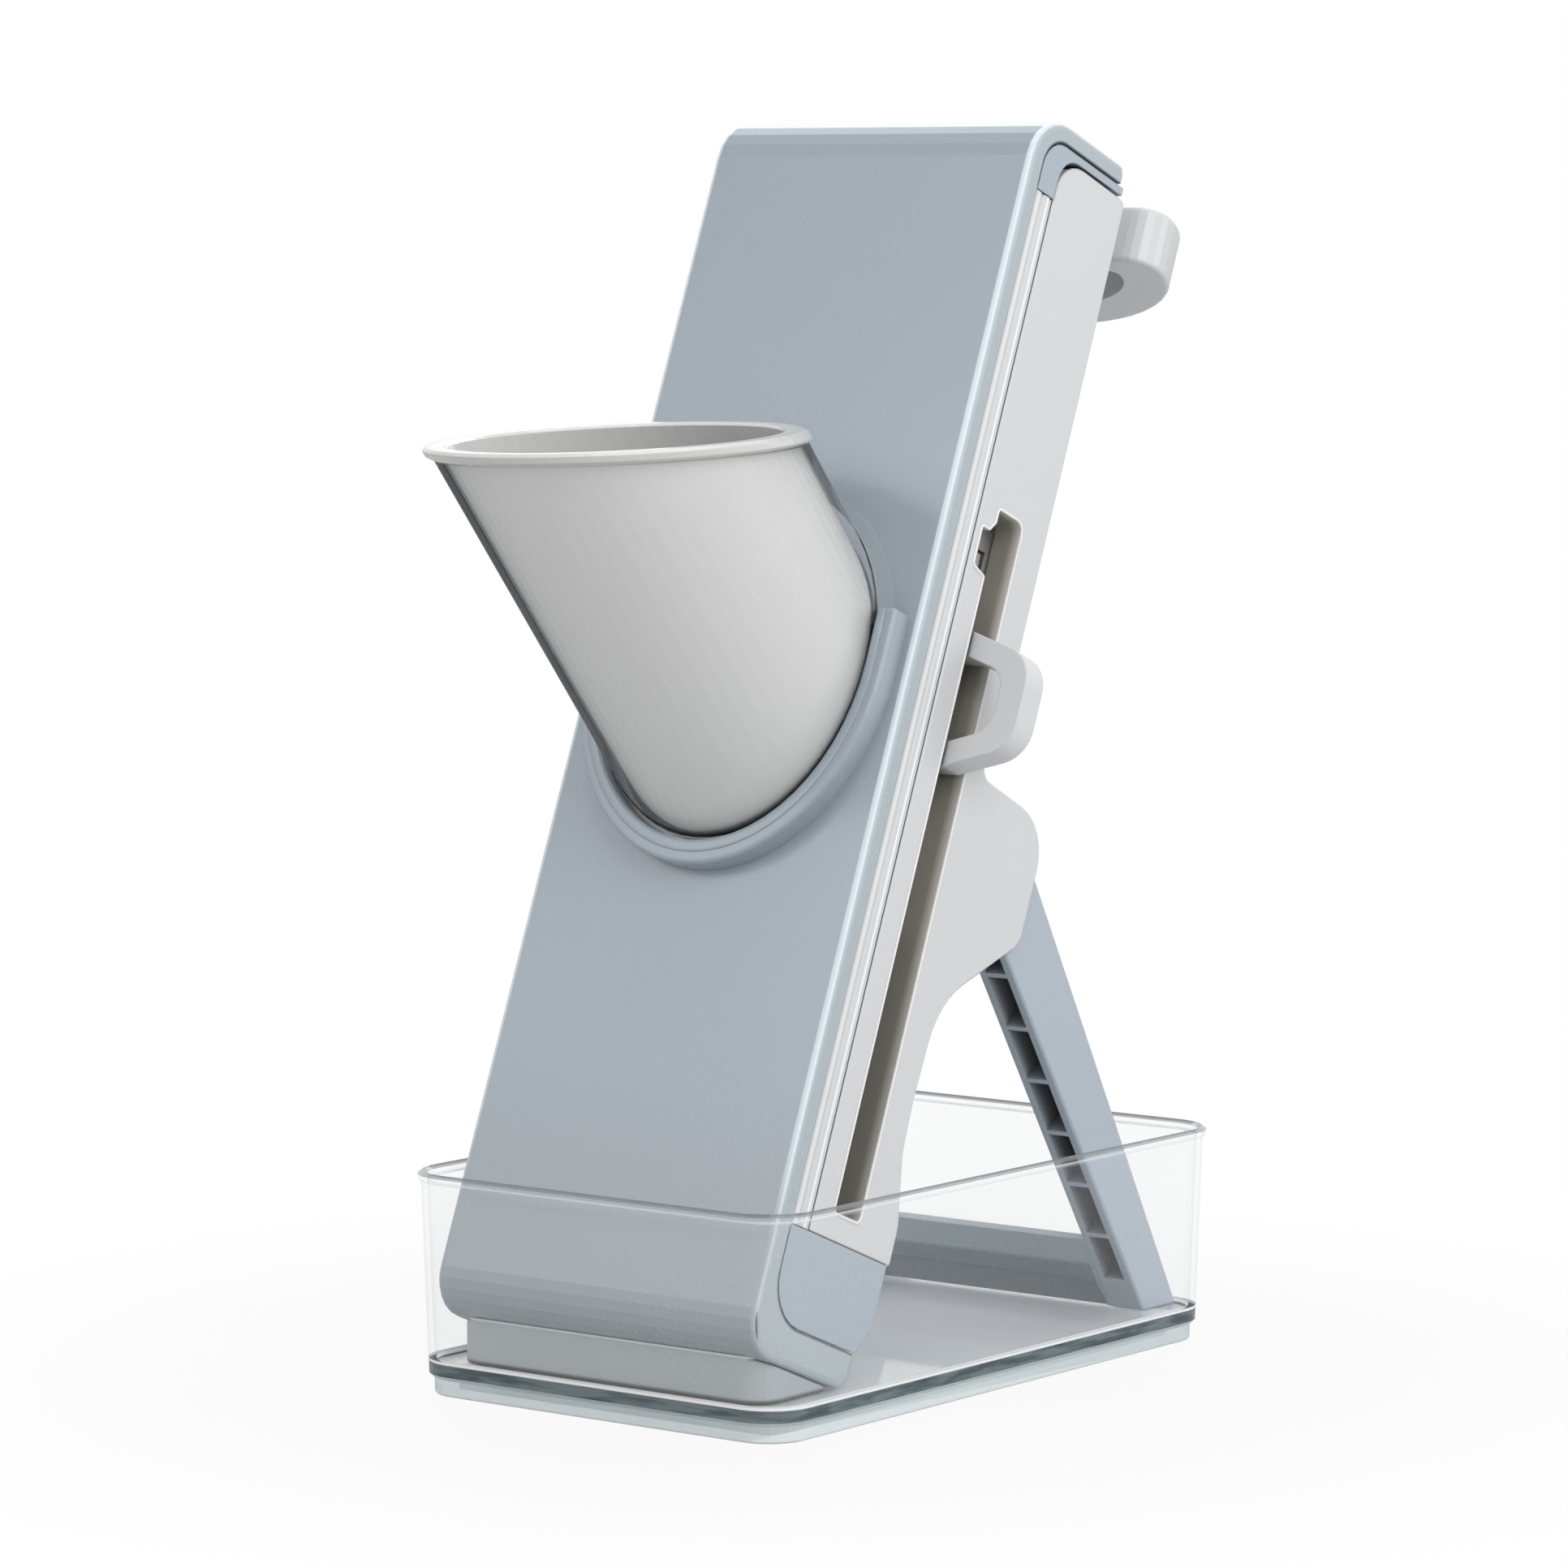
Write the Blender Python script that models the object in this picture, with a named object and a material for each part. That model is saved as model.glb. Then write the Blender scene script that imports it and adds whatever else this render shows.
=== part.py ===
# Upright press slicer for vegetables: a leaning body with a feed chute, a spring returned blade
# carriage pressed by a rear grip, a folding rear stand and a clear catch tray.
# Sizes are millimetres and degrees. The builders below turn them into metres.
# Body frame: x to the right, y from the front face to the back, z up along the leaning body.

import math

import bmesh
import bpy
from mathutils import Matrix, Vector

MM = 0.001

# Clearances
fit_gap = 0.3            # between pieces that touch or seat
slide_gap = 0.3          # each side of a sliding piece
hole_gap = 0.3           # round a rod or a pin
seam_gap = 0.5           # open seams between cover, rails and panels

# Catch tray and the shallow foot mat under it
mat_height = 4.8
mat_inset = 1.6
mat_lip = 7.0
mat_web = 1.2
tray_room = 9.0          # beside the body, at the base
tray_depth = 213.0       # at the base
tray_height = 59.1       # above the foot ring
tray_corner = 13.5
tray_lean = 2.1          # how far each wall leans out at the rim
tray_wall = 1.8
tray_floor = 4.1
bead_height = 3.0
bead_proud = 0.9

# Leaning body
body_tilt = 22.2
side_room = 10.5         # body beside the feed tube
body_origin_y = -100.4   # where the front face line meets z = 0 of the body
body_origin_z = 47.1
cover_top = 342.4
cover_bottom = -22.3
cover_wall = 2.5
cover_top_depth = 44.3
cover_bottom_depth = 47.0
cover_top_radius = 15.0
cover_bottom_radius = 12.0
cover_edge_radius = 2.0
rim_width = 6.2          # side rim of the cover beside the groove
rim_top = 5.8
rim_bottom = 10.6
groove_radius = 9.0
groove_bottom_radius = 14.0

# Inner frame: rails and side panels
frame_inset = 0.4        # rails and panels inside the cover's sides
cap_inset = 0.3
frame_wall = 9.1         # depth of the rails and panels across the body
rail_depth = 9.6
rail_low = 15.6
rail_high = 319.6
rail_web = 2.2
rail_flange = 1.0
rail_groove = 0.5
panel_front = 15.7
panel_skin = 1.5
panel_wall = 2.0
panel_back = 49.5
slot_front = 24.6
slot_back = 36.6
slot_low = 23.4
slot_high = 229.0
notch_front = 18.4
notch_low = 211.0
notch_high = 222.0
cap_floor = 1.8
cap_roof = 2.3
flare_low = 27.0         # the panel's lower end is wider up to here
flare_high = 47.0
flare = 6.0
ear_reach = 13.8         # behind the pivot of the stand
ear_low = 16.2           # below the pivot
ear_high = 19.8
ear_foot = 42.7
ear_shoulder = 22.9
ear_blend = 56.3
box_relief = 5.0         # the deep part keeps clear of the stand's hub
box_relief_reach = 30.0

# Rods and return springs
rod_diameter = 3.6
rod_inset = 5.7          # from the frame's outer face
rod_seat = 9.0
spring_wire = 0.9
spring_diameter = 5.2
spring_turns = 30
points_per_turn = 8

# Feed chute, its collar and the pusher
chute_angle = 27.5       # tube axis above the normal of the front face
chute_height = 169.7     # where the tube axis crosses the front face
chute_radius = 46.5
chute_wall = 2.1
chute_length = 80.7      # along the axis, from the flange to the mouth
mouth_angle = 37.7       # between the mouth and a square cut
flange_thickness = 3.4
flange_side = 4.5        # beyond the tube
flange_end = 4.1
flange_rise = 1.3        # its centre above the tube's
collar_proud = 7.0
collar_round = 1.2
collar_side = 1.3        # wall beside the flange
collar_end = 3.2         # wall below the flange
throat_end = 2.2         # throat of the collar below the tube
throat_rise = 2.5
collar_rise = 19.3       # its ends above the tube's centre
sleeve_clearance = 0.8   # from the sleeve to the sliding plates
sleeve_wall = 1.8
pusher_gap = 0.7
pusher_wall = 2.0
pusher_rim = 1.5
pusher_rim_height = 4.2
rim_gap = 0.7            # between the pusher's rim and the mouth

# Blade carriage
carriage_low = 106.5
carriage_high = 332.0
carriage_back = 44.0
cheek = 2.5
slice_step = 2.0
plate_thickness = 2.4
blade_edge = 220.8
blade_height = 12.5
blade_thickness = 1.2
lug_low = 303.0
lug_high = 317.0
blade_bar_height = 16.0
blade_bar_depth = 7.0
rib_height = 8.0

# Strip comb: a cassette with a row of teeth that is drawn out to the right by its ring
tooth_pitch = 4.8
comb_margin = 5.5        # plain end of the cassette beside the last tooth
tooth_thickness = 0.7
tooth_reach = 1.3
comb_low = 212.2
comb_high = 219.0
comb_wall = 2.4
ring_centre = 173.2
ring_radius = 20.0
ring_hole = 12.5
ring_out = 21.9          # beyond the side panel
ring_slope = 17.0        # each leg leans inwards
ring_corner = 10.5
ring_hole_end = 8.6
ring_hole_corner = 7.0
ring_front = 25.5
ring_back = 34.5

# Press grip
grip_low = 320.3
grip_height = 17.3
grip_front = 63.0
grip_overhang = 0.6      # beyond the body on each side
grip_corner = 8.0
grip_depth = 45.0        # behind its widest line
grip_power = 1.7
grip_band = 15.6
grip_recess = 12.0
arm_half_width = 18.0
arm_depth = 28.0

# Folding stand
pivot_y = 68.2           # in the body frame
pivot_z = 133.7
stand_angle = 32.2       # legs from upright, leaning back
leg_width = 12.7
leg_front = 10.6
leg_hub = 13.4
leg_back_low = 4.0
leg_length = 164.0
leg_web = 2.8
rib_first = 28.2
rib_pitch = 19.5
ribs = 6
bar_top = 128.4
bar_step = 144.5
bar_wall = 2.4
bar_recess = 0.9
pin_diameter = 5.0

# Foot under the body
foot_inset = 2.0         # inside the body's sides
foot_front = -99.3       # in the world
foot_length = 30.0
foot_corner = 8.0


def clear_scene():
    for thing in list(bpy.data.objects):
        bpy.data.objects.remove(thing, do_unlink=True)


def finish(name, colour, roughness, metallic=0.0, alpha=1.0):
    material = bpy.data.materials.new(name)
    material.use_nodes = True
    shader = material.node_tree.nodes["Principled BSDF"]
    shader.inputs["Base Color"].default_value = (*colour, 1.0)
    shader.inputs["Roughness"].default_value = roughness
    shader.inputs["Metallic"].default_value = metallic
    shader.inputs["Alpha"].default_value = alpha
    material.diffuse_color = (*colour, alpha)
    return material


def frame_empty(name, parent, location, turn_x):
    empty = bpy.data.objects.new(name, None)
    bpy.context.collection.objects.link(empty)
    empty.parent = parent
    empty.location = Vector(location) * MM
    empty.rotation_euler = (math.radians(turn_x), 0.0, 0.0)
    return empty


def make_object(name, mesh, parent, material=None):
    thing = bpy.data.objects.new(name, mesh)
    bpy.context.collection.objects.link(thing)
    thing.parent = parent
    if material:
        mesh.materials.append(material)
    return thing


# Outlines

def arc(centre, radius, start, end, steps):
    points = []
    for step in range(steps + 1):
        angle = math.radians(start + (end - start) * step / steps)
        points.append((centre[0] + radius * math.cos(angle), centre[1] + radius * math.sin(angle)))
    return points


def rounded(corners, steps=5):
    """Outline through corners (a, b, radius), with an arc at each corner that has a radius."""
    outline = []
    count = len(corners)
    for index, (a, b, radius) in enumerate(corners):
        here = Vector((a, b))
        before = Vector(corners[index - 1][:2]) - here
        after = Vector(corners[(index + 1) % count][:2]) - here
        if radius <= 0.0:
            outline.append((a, b))
            continue
        half = before.angle(after) / 2
        reach = radius / math.tan(half)
        start = here + before.normalized() * reach
        end = here + after.normalized() * reach
        middle = (before.normalized() + after.normalized()).normalized()
        centre = here + middle * (radius / math.sin(half))
        first = (start - centre)
        last = (end - centre)
        sweep = first.angle_signed(last)
        for step in range(steps + 1):
            turned = first.copy()
            turned.rotate(Matrix.Rotation(-sweep * step / steps, 2))
            point = centre + turned
            outline.append((point.x, point.y))
    return outline


def box_outline(a0, b0, a1, b1, radius=0.0):
    return rounded([(a0, b0, radius), (a1, b0, radius), (a1, b1, radius), (a0, b1, radius)])


def u_outline(half_width, half_height, centre, top, steps=28):
    """Lower half of an oval with straight sides up to top."""
    outline = []
    for step in range(steps + 1):
        angle = math.pi + math.pi * step / steps
        outline.append((half_width * math.cos(angle), centre + half_height * math.sin(angle)))
    outline.append((half_width, top))
    outline.append((-half_width, top))
    return outline


def oval(half_width, half_height, centre, steps=56):
    points = []
    for step in range(steps):
        angle = 2 * math.pi * step / steps
        points.append((half_width * math.cos(angle), centre + half_height * math.sin(angle)))
    return points


def d_outline(half_width, front, centre, depth, corner, steps=24):
    """Straight front edge with round corners and a full rounded rear."""
    points = arc((-half_width + corner, front + corner), corner, 180, 270, 5)
    points += arc((half_width - corner, front + corner), corner, 270, 360, 5)
    for step in range(1, steps):
        angle = math.pi * step / steps
        side = math.copysign(abs(math.cos(angle)) ** (2 / grip_power), math.cos(angle))
        rear = math.sin(angle) ** (2 / grip_power)
        points.append((half_width * side, centre + depth * rear))
    return points


# Solids

def to_axes(axis, a, b, c):
    """Point from outline coordinates (a, b) and height c along the extrusion axis."""
    if axis == "x":
        return (c, a, b)
    if axis == "y":
        return (a, c, b)
    return (a, b, c)


def face_outward(shape):
    bmesh.ops.recalc_face_normals(shape, faces=shape.faces)
    if shape.calc_volume(signed=True) < 0.0:
        bmesh.ops.reverse_faces(shape, faces=shape.faces)


def prism(name, outline, axis, low, high, parent, material=None):
    """Straight extrusion of a closed outline; x takes (y, z), y takes (x, z), z takes (x, y)."""
    mesh = bpy.data.meshes.new(name)
    shape = bmesh.new()
    base = [shape.verts.new(Vector(to_axes(axis, a, b, low)) * MM) for a, b in outline]
    face = shape.faces.new(base)
    moved = bmesh.ops.extrude_face_region(shape, geom=[face])
    shift = Vector(to_axes(axis, 0.0, 0.0, high - low)) * MM
    bmesh.ops.translate(shape, vec=shift,
                        verts=[v for v in moved["geom"] if isinstance(v, bmesh.types.BMVert)])
    face_outward(shape)
    shape.to_mesh(mesh)
    shape.free()
    return make_object(name, mesh, parent, material)


def loft(name, rings, parent, material=None, closed=False):
    """Skin over rings of equal point counts: capped at both ends, or closed into a loop."""
    mesh = bpy.data.meshes.new(name)
    shape = bmesh.new()
    loops = [[shape.verts.new(Vector(point) * MM) for point in ring] for ring in rings]
    pairs = list(zip(loops, loops[1:]))
    if closed:
        pairs.append((loops[-1], loops[0]))
    for lower, upper in pairs:
        count = len(lower)
        for index in range(count):
            after = (index + 1) % count
            shape.faces.new((lower[index], lower[after], upper[after], upper[index]))
    if not closed:
        shape.faces.new(list(reversed(loops[0])))
        shape.faces.new(loops[-1])
    face_outward(shape)
    shape.to_mesh(mesh)
    shape.free()
    thing = make_object(name, mesh, parent, material)
    smooth(thing)
    return thing


def cylinder(name, axis, centre, radius, low, high, parent, material=None, steps=20):
    outline = arc(centre, radius, 0, 360 - 360 / steps, steps - 1)
    thing = prism(name, outline, axis, low, high, parent, material)
    smooth(thing)
    return thing


def smooth(thing, angle=35):
    thing.data.shade_smooth()
    thing.data.set_sharp_from_angle(angle=math.radians(angle))


def soften(thing, width, segments=2, angle=40):
    """Small rounds on the sharp edges."""
    bevel = thing.modifiers.new("rounds", "BEVEL")
    bevel.width = width * MM
    bevel.segments = segments
    bevel.limit_method = "ANGLE"
    bevel.angle_limit = math.radians(angle)
    return thing


def guide_only(thing):
    thing.hide_render = True
    thing.display_type = "WIRE"
    return thing


def cut(thing, cutter):
    step = thing.modifiers.new("cut", "BOOLEAN")
    step.operation = "DIFFERENCE"
    step.solver = "EXACT"
    step.object = guide_only(cutter)
    return thing


def join(thing, other):
    step = thing.modifiers.new("join", "BOOLEAN")
    step.operation = "UNION"
    step.solver = "EXACT"
    step.object = guide_only(other)
    return thing


def both_sides():
    return (("right", 1.0), ("left", -1.0))


def span(side, inner, outer):
    """Low and high x of a piece that lies between inner and outer on one side."""
    ends = sorted((side * inner, side * outer))
    return ends[0], ends[1]


# Values that follow from the driving sizes

floor_z = mat_height + tray_floor
rest_z = floor_z + fit_gap
half_body = chute_radius + side_room
tray_width = 2.0 * (half_body + tray_room)
foot_half_width = half_body - foot_inset
half_frame = half_body - frame_inset
half_inner = half_frame - frame_wall
half_carriage = half_inner - slide_gap
half_plate = half_carriage - cheek - fit_gap
teeth = 1 + 2 * int((half_plate - comb_margin) / tooth_pitch)
rod_x = half_frame - rod_inset
rail_front = rim_width + seam_gap
rail_back = panel_front - seam_gap
rod_y = (rail_front + rail_back) / 2
cut_plane = slot_front
lead_plane = cut_plane + slice_step
sleeve_end = cut_plane - sleeve_clearance
cap_top = cover_top - rim_top - seam_gap
cap_bottom = cover_bottom + rim_bottom + seam_gap
panel_top = cap_top - cap_roof - fit_gap
tan_chute = math.tan(math.radians(chute_angle))
cos_chute = math.cos(math.radians(chute_angle))
tan_mouth = math.tan(math.radians(mouth_angle))
tube_inner = chute_radius - chute_wall
channel_back = -0.1
flange_back = channel_back - fit_gap
flange_front = flange_back - flange_thickness
flange_half_width = chute_radius + flange_side
flange_half_height = chute_radius / cos_chute + flange_end
flange_centre = chute_height + flange_rise
collar_half_width = flange_half_width + slide_gap + collar_side
collar_half_height = flange_half_height + slide_gap + collar_end
collar_top = chute_height + collar_rise
leg_outer = half_frame - panel_skin - slide_gap
leg_inner = leg_outer - leg_width
tilt = math.radians(body_tilt)


def body_point(y_world, z_world):
    """Body coordinates (y, z) of a world point on the middle plane."""
    dy = y_world - body_origin_y
    dz = z_world - body_origin_z
    return (dy * math.cos(tilt) - dz * math.sin(tilt), dy * math.sin(tilt) + dz * math.cos(tilt))


def world_point(y, z):
    return (body_origin_y + y * math.cos(tilt) + z * math.sin(tilt),
            body_origin_z - y * math.sin(tilt) + z * math.cos(tilt))


# Catch tray

def tray_ring_points(inset, z, radius):
    half_x = tray_width / 2 - inset
    half_y = tray_depth / 2 - inset
    outline = []
    for cx, cy, start in ((1, 1, 0), (-1, 1, 90), (-1, -1, 180), (1, -1, 270)):
        centre = (cx * (half_x - radius), cy * (half_y - radius))
        outline += arc(centre, radius, start, start + 90, 7)
    return [(x, y, z) for x, y in outline]


def build_tray(clear, soft):
    base = mat_height
    rim = mat_height + tray_height
    under_bead = rim - bead_height
    lean_at_bead = tray_lean * (tray_height - bead_height) / tray_height
    lean_at_floor = tray_lean * tray_floor / tray_height
    inner_radius = tray_corner - tray_wall
    foot_round = 1.2
    rings = [
        tray_ring_points(foot_round, base, tray_corner - foot_round),
        tray_ring_points(0.0, base + foot_round, tray_corner),
        tray_ring_points(-lean_at_bead, under_bead, tray_corner + lean_at_bead),
        tray_ring_points(-lean_at_bead - bead_proud, under_bead + bead_proud,
                         tray_corner + lean_at_bead + bead_proud),
        tray_ring_points(-tray_lean - bead_proud, rim - bead_proud, tray_corner + tray_lean + bead_proud),
        tray_ring_points(-tray_lean + bead_proud / 2, rim, tray_corner + tray_lean - bead_proud / 2),
        tray_ring_points(tray_wall - tray_lean, rim - bead_proud, inner_radius + tray_lean),
        tray_ring_points(tray_wall - lean_at_floor, floor_z + 2.0, inner_radius + lean_at_floor),
        tray_ring_points(tray_wall - lean_at_floor + 1.2, floor_z, inner_radius + lean_at_floor - 1.2),
    ]
    loft("tray", rings, None, clear)

    top = mat_height - fit_gap
    outer = tray_corner - mat_inset
    inner = outer - mat_lip
    mat = [
        tray_ring_points(mat_inset + 0.6, 0.0, outer - 0.6),
        tray_ring_points(mat_inset, 0.6, outer),
        tray_ring_points(mat_inset, top, outer),
        tray_ring_points(mat_inset + mat_lip, top, inner),
        tray_ring_points(mat_inset + mat_lip, mat_web, inner),
    ]
    loft("tray_foot_mat", mat, None, soft)


# Front cover

def cover_profile(inset, top_depth, bottom_depth, rear_round=0.0):
    """Side view of the cover, inset evenly from its outer face, with a straight rear."""
    top = cover_top - inset
    bottom = cover_bottom + inset
    return rounded([
        (inset, top, cover_top_radius - inset),
        (inset, bottom, cover_bottom_radius - inset),
        (bottom_depth, bottom, 2.0 * rear_round),
        (bottom_depth, bottom + 14.0, 0.0),
        (top_depth, top - 14.0, 0.0),
        (top_depth, top, rear_round),
    ], steps=6)


def groove_profile():
    beyond = cover_bottom_depth + 40.0
    return rounded([
        (rim_width, cover_top - rim_top, groove_radius),
        (rim_width, cover_bottom + rim_bottom, groove_bottom_radius),
        (beyond, cover_bottom + rim_bottom, 0.0),
        (beyond, cover_top - rim_top, 0.0),
    ], steps=6)


def build_cover(body, shell):
    half = half_body
    beyond = cover_bottom_depth + 40.0
    rings = []
    for side in (-1.0, 1.0):
        for step in range(4)[::-int(side)]:
            angle = math.radians(30.0 * step)
            inset = cover_edge_radius * (1.0 - math.sin(angle))
            x = side * (half - cover_edge_radius * (1.0 - math.cos(angle)))
            profile = cover_profile(inset, cover_top_depth, cover_bottom_depth, 1.5)
            rings.append([(x, y, z) for y, z in profile])
    cover = loft("front_cover", rings, body, shell)

    room = prism("cover_room", cover_profile(cover_wall, beyond, beyond), "x",
                 cover_wall - half, half - cover_wall, body)
    cut(cover, room)
    cut(cover, prism("cover_groove", groove_profile(), "x", -half - 5, half + 5, body))

    outer = u_outline(collar_half_width, collar_half_height, chute_height + 1.0, collar_top)
    collar = prism("collar", outer, "y", -collar_proud, cover_wall / 2, body)
    join(cover, soften(collar, collar_round, 3))

    channel_top = collar_top + 60.0
    channel = u_outline(flange_half_width + slide_gap, flange_half_height + slide_gap,
                        flange_centre, channel_top)
    throat = u_outline(chute_radius + slide_gap, chute_radius / cos_chute + throat_end,
                       chute_height + throat_rise, channel_top)
    cut(cover, prism("flange_channel", channel, "y", flange_front - slide_gap, channel_back, body))
    cut(cover, prism("collar_throat", throat, "y", -collar_proud - 5, flange_front + 1.0, body))
    opening = oval(tube_inner, tube_inner / cos_chute, chute_height - cover_wall / 2 * tan_chute)
    cut(cover, prism("chute_opening", opening, "y", -2.0, cover_wall + 2.0, body))
    smooth(cover)


def axis_point(distance, across):
    """Body point on the chute's middle plane: distance along the tube axis, across it."""
    turn = math.radians(chute_angle)
    y = -distance * math.cos(turn) + across * math.sin(turn)
    z = chute_height + distance * math.sin(turn) + across * math.cos(turn)
    return y, z


def tube_ring(radius, start, slope, steps=56):
    """Ring round the tube axis on a slanted plane: distance = start + slope * across."""
    points = []
    for step in range(steps):
        angle = 2 * math.pi * step / steps
        x = radius * math.cos(angle)
        across = radius * math.sin(angle)
        y, z = axis_point(start + slope * across, across)
        points.append((x, y, z))
    return points


def face_ring(radius, depth, steps=56):
    """Ring round the tube axis on a plane parallel to the front face."""
    return tube_ring(radius, -depth / cos_chute, tan_chute, steps)


def build_sleeve(body, light):
    start = cover_wall + fit_gap
    rings = [
        face_ring(tube_inner + sleeve_wall, start),
        face_ring(tube_inner + sleeve_wall, sleeve_end),
        face_ring(tube_inner, sleeve_end),
        face_ring(tube_inner, start),
    ]
    loft("inner_sleeve", rings, body, light, closed=True)


def build_chute(body, clear):
    """Clear tube with an oval flange that drops into the collar."""
    holder = frame_empty("chute_slide", body, (0.0, 0.0, 0.0), 0.0)
    mouth = chute_length + flange_thickness / cos_chute
    rings = [
        face_ring(tube_inner, flange_back),
        face_ring(chute_radius, flange_back),
        tube_ring(chute_radius, mouth, -tan_mouth),
        tube_ring(tube_inner, mouth, -tan_mouth),
    ]
    tube = loft("chute", rings, holder, clear, closed=True)
    flange = prism("chute_flange", oval(flange_half_width, flange_half_height, flange_centre), "y",
                   flange_front, flange_back - 0.02, holder)
    bore = loft("chute_bore", [face_ring(chute_radius - chute_wall / 2, 5.0),
                               face_ring(chute_radius - chute_wall / 2, -30.0)], holder)
    cut(flange, bore)
    join(tube, flange)
    return holder


def build_pusher(holder, light):
    """Hollow cup whose rim rests on the mouth of the chute."""
    slide = frame_empty("pusher_slide", holder, (0.0, 0.0, 0.0), 0.0)
    radius = tube_inner - pusher_gap
    inner = radius - pusher_wall
    rim = chute_radius + pusher_rim
    mouth = chute_length + flange_thickness / cos_chute
    seat = mouth + rim_gap
    top = seat + pusher_rim_height
    rings = [
        face_ring(radius - 1.2, flange_back),
        face_ring(radius, flange_back - 1.2),
        tube_ring(radius, seat, -tan_mouth),
        tube_ring(rim - 0.8, seat, -tan_mouth),
        tube_ring(rim, seat + 0.9, -tan_mouth),
        tube_ring(rim, top - 1.2, -tan_mouth),
        tube_ring(rim - 1.2, top, -tan_mouth),
        tube_ring(inner + 1.0, top, -tan_mouth),
        tube_ring(inner, top - 1.0, -tan_mouth),
        face_ring(inner, flange_back - pusher_wall),
    ]
    loft("pusher", rings, slide, light)


# Caps, rails and side panels

def build_caps(body, shell):
    half = half_body - cap_inset
    depth = cover_top_depth + 2.3
    inner_radius = max(groove_radius - 1.0, 1.0)
    under_roof = panel_top + fit_gap
    profile = rounded([
        (rail_front, rail_high + fit_gap, 0.0),
        (rail_back, rail_high + fit_gap, 0.0),
        (rail_back, under_roof, inner_radius),
        (depth, under_roof, 0.0),
        (depth, cap_top, 0.0),
        (rail_front, cap_top, groove_radius - fit_gap),
    ], steps=6)
    top = prism("top_cap", profile, "x", -half, half, body, shell)

    back = panel_back + 4.3
    seam = rail_low - fit_gap
    profile = rounded([
        (rail_front, seam, 0.0),
        (rail_front, cap_bottom, groove_bottom_radius - fit_gap),
        (back - 5.0, cap_bottom, 4.0),
        (back, cap_bottom + 8.5, 4.0),
        (back, seam, 0.0),
    ], steps=6)
    bottom = prism("bottom_cap", profile, "x", -half, half, body, shell)
    room_low = cap_bottom + cap_floor
    room = box_outline(rail_back + 0.6, room_low, back + 5.0, seam + 5.0)
    cut(bottom, prism("bottom_room", room, "x", -half_inner, half_inner, body))

    for side_name, side in both_sides():
        for cap, low, high in ((top, rail_high - 1.0, rail_high + rod_seat + fit_gap),
                               (bottom, rail_low - rod_seat - fit_gap, rail_low + 1.0)):
            hole = cylinder(f"rod_seat_{side_name}_{cap.name}", "z", (side * rod_x, rod_y),
                            rod_diameter / 2 + hole_gap, low, high, body)
            cut(cap, hole)


def build_rails(body, light, steel):
    for name, side in both_sides():
        outer = half_frame
        cavity = outer - rail_web
        section = [
            (half_inner, rail_front), (outer, rail_front),
            (outer, rail_front + 2.4), (outer - rail_groove, rail_front + 2.9),
            (outer - rail_groove, rail_front + 3.9), (outer, rail_front + 4.4),
            (outer, rail_back - 1.8), (outer - rail_groove, rail_back - 1.3),
            (outer - rail_groove, rail_back),
            (half_inner, rail_back), (half_inner, rail_back - rail_flange),
            (cavity, rail_back - rail_flange), (cavity, rail_front + rail_flange),
            (half_inner, rail_front + rail_flange),
        ]
        section = [(side * x, y) for x, y in section]
        prism(f"side_rail_{name}", section, "z", rail_low, rail_high, body, light)
        cylinder(f"guide_rod_{name}", "z", (side * rod_x, rod_y), rod_diameter / 2,
                 rail_low - rod_seat, rail_high + rod_seat, body, steel, 12)


def panel_outline():
    """Side panel with its waist, the ear that carries the stand and the flared lower end."""
    ear_right = pivot_y + ear_reach
    return rounded([
        (panel_front, rail_low - 0.2, 0.0),
        (panel_back + flare + 0.1, rail_low - 0.2, 0.8),
        (panel_back + flare, flare_low, 15.0),
        (panel_back + 0.2, flare_high, 22.0),
        (panel_back - 0.5, flare_high + 15.0, 0.0),
        (panel_back + 0.8, pivot_z - ear_foot, 28.0),
        (ear_right - 0.5, pivot_z - ear_low, 7.0),
        (ear_right, pivot_z + ear_high, 15.0),
        (panel_back - 5.0, pivot_z + ear_shoulder, 5.0),
        (panel_back, pivot_z + ear_blend, 25.0),
        (panel_back, panel_top - 0.4, 2.5),
        (panel_front, panel_top, 11.0),
    ], steps=6)


def panel_box_outline(inset):
    """The panel's deep part, which ends in front of the folding legs."""
    back = panel_back - 0.3 - inset
    waist = back - box_relief
    return rounded([
        (panel_front + inset, rail_low - 0.2 + inset, 0.0),
        (back, rail_low - 0.2 + inset, 0.0),
        (back, pivot_z - box_relief_reach - 18.0, 0.0),
        (waist, pivot_z - box_relief_reach, 0.0),
        (waist, pivot_z + box_relief_reach + inset, 0.0),
        (back, pivot_z + ear_blend + 1.0, 0.0),
        (back, panel_top - 1.0 - inset, 0.0),
        (panel_front + inset, panel_top - inset, max(11.0 - inset, 1.0)),
    ])


def slot_outline(grow=0.0):
    front = slot_front - grow
    back = slot_back + grow
    return rounded([
        (front, slot_low - grow, 1.0),
        (back, slot_low - grow, 1.5),
        (back, slot_high + grow, 3.0),
        (front - 0.3, slot_high + grow, 0.8),
        (front - 0.3, notch_high + 3.0, 1.0),
        (front - 2.6, notch_high + grow, 1.0),
        (notch_front - grow, notch_high + grow, 0.6),
        (notch_front - grow, notch_low - grow, 1.2),
        (front, notch_low - 1.5 - grow, 1.0),
    ], steps=3)


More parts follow.
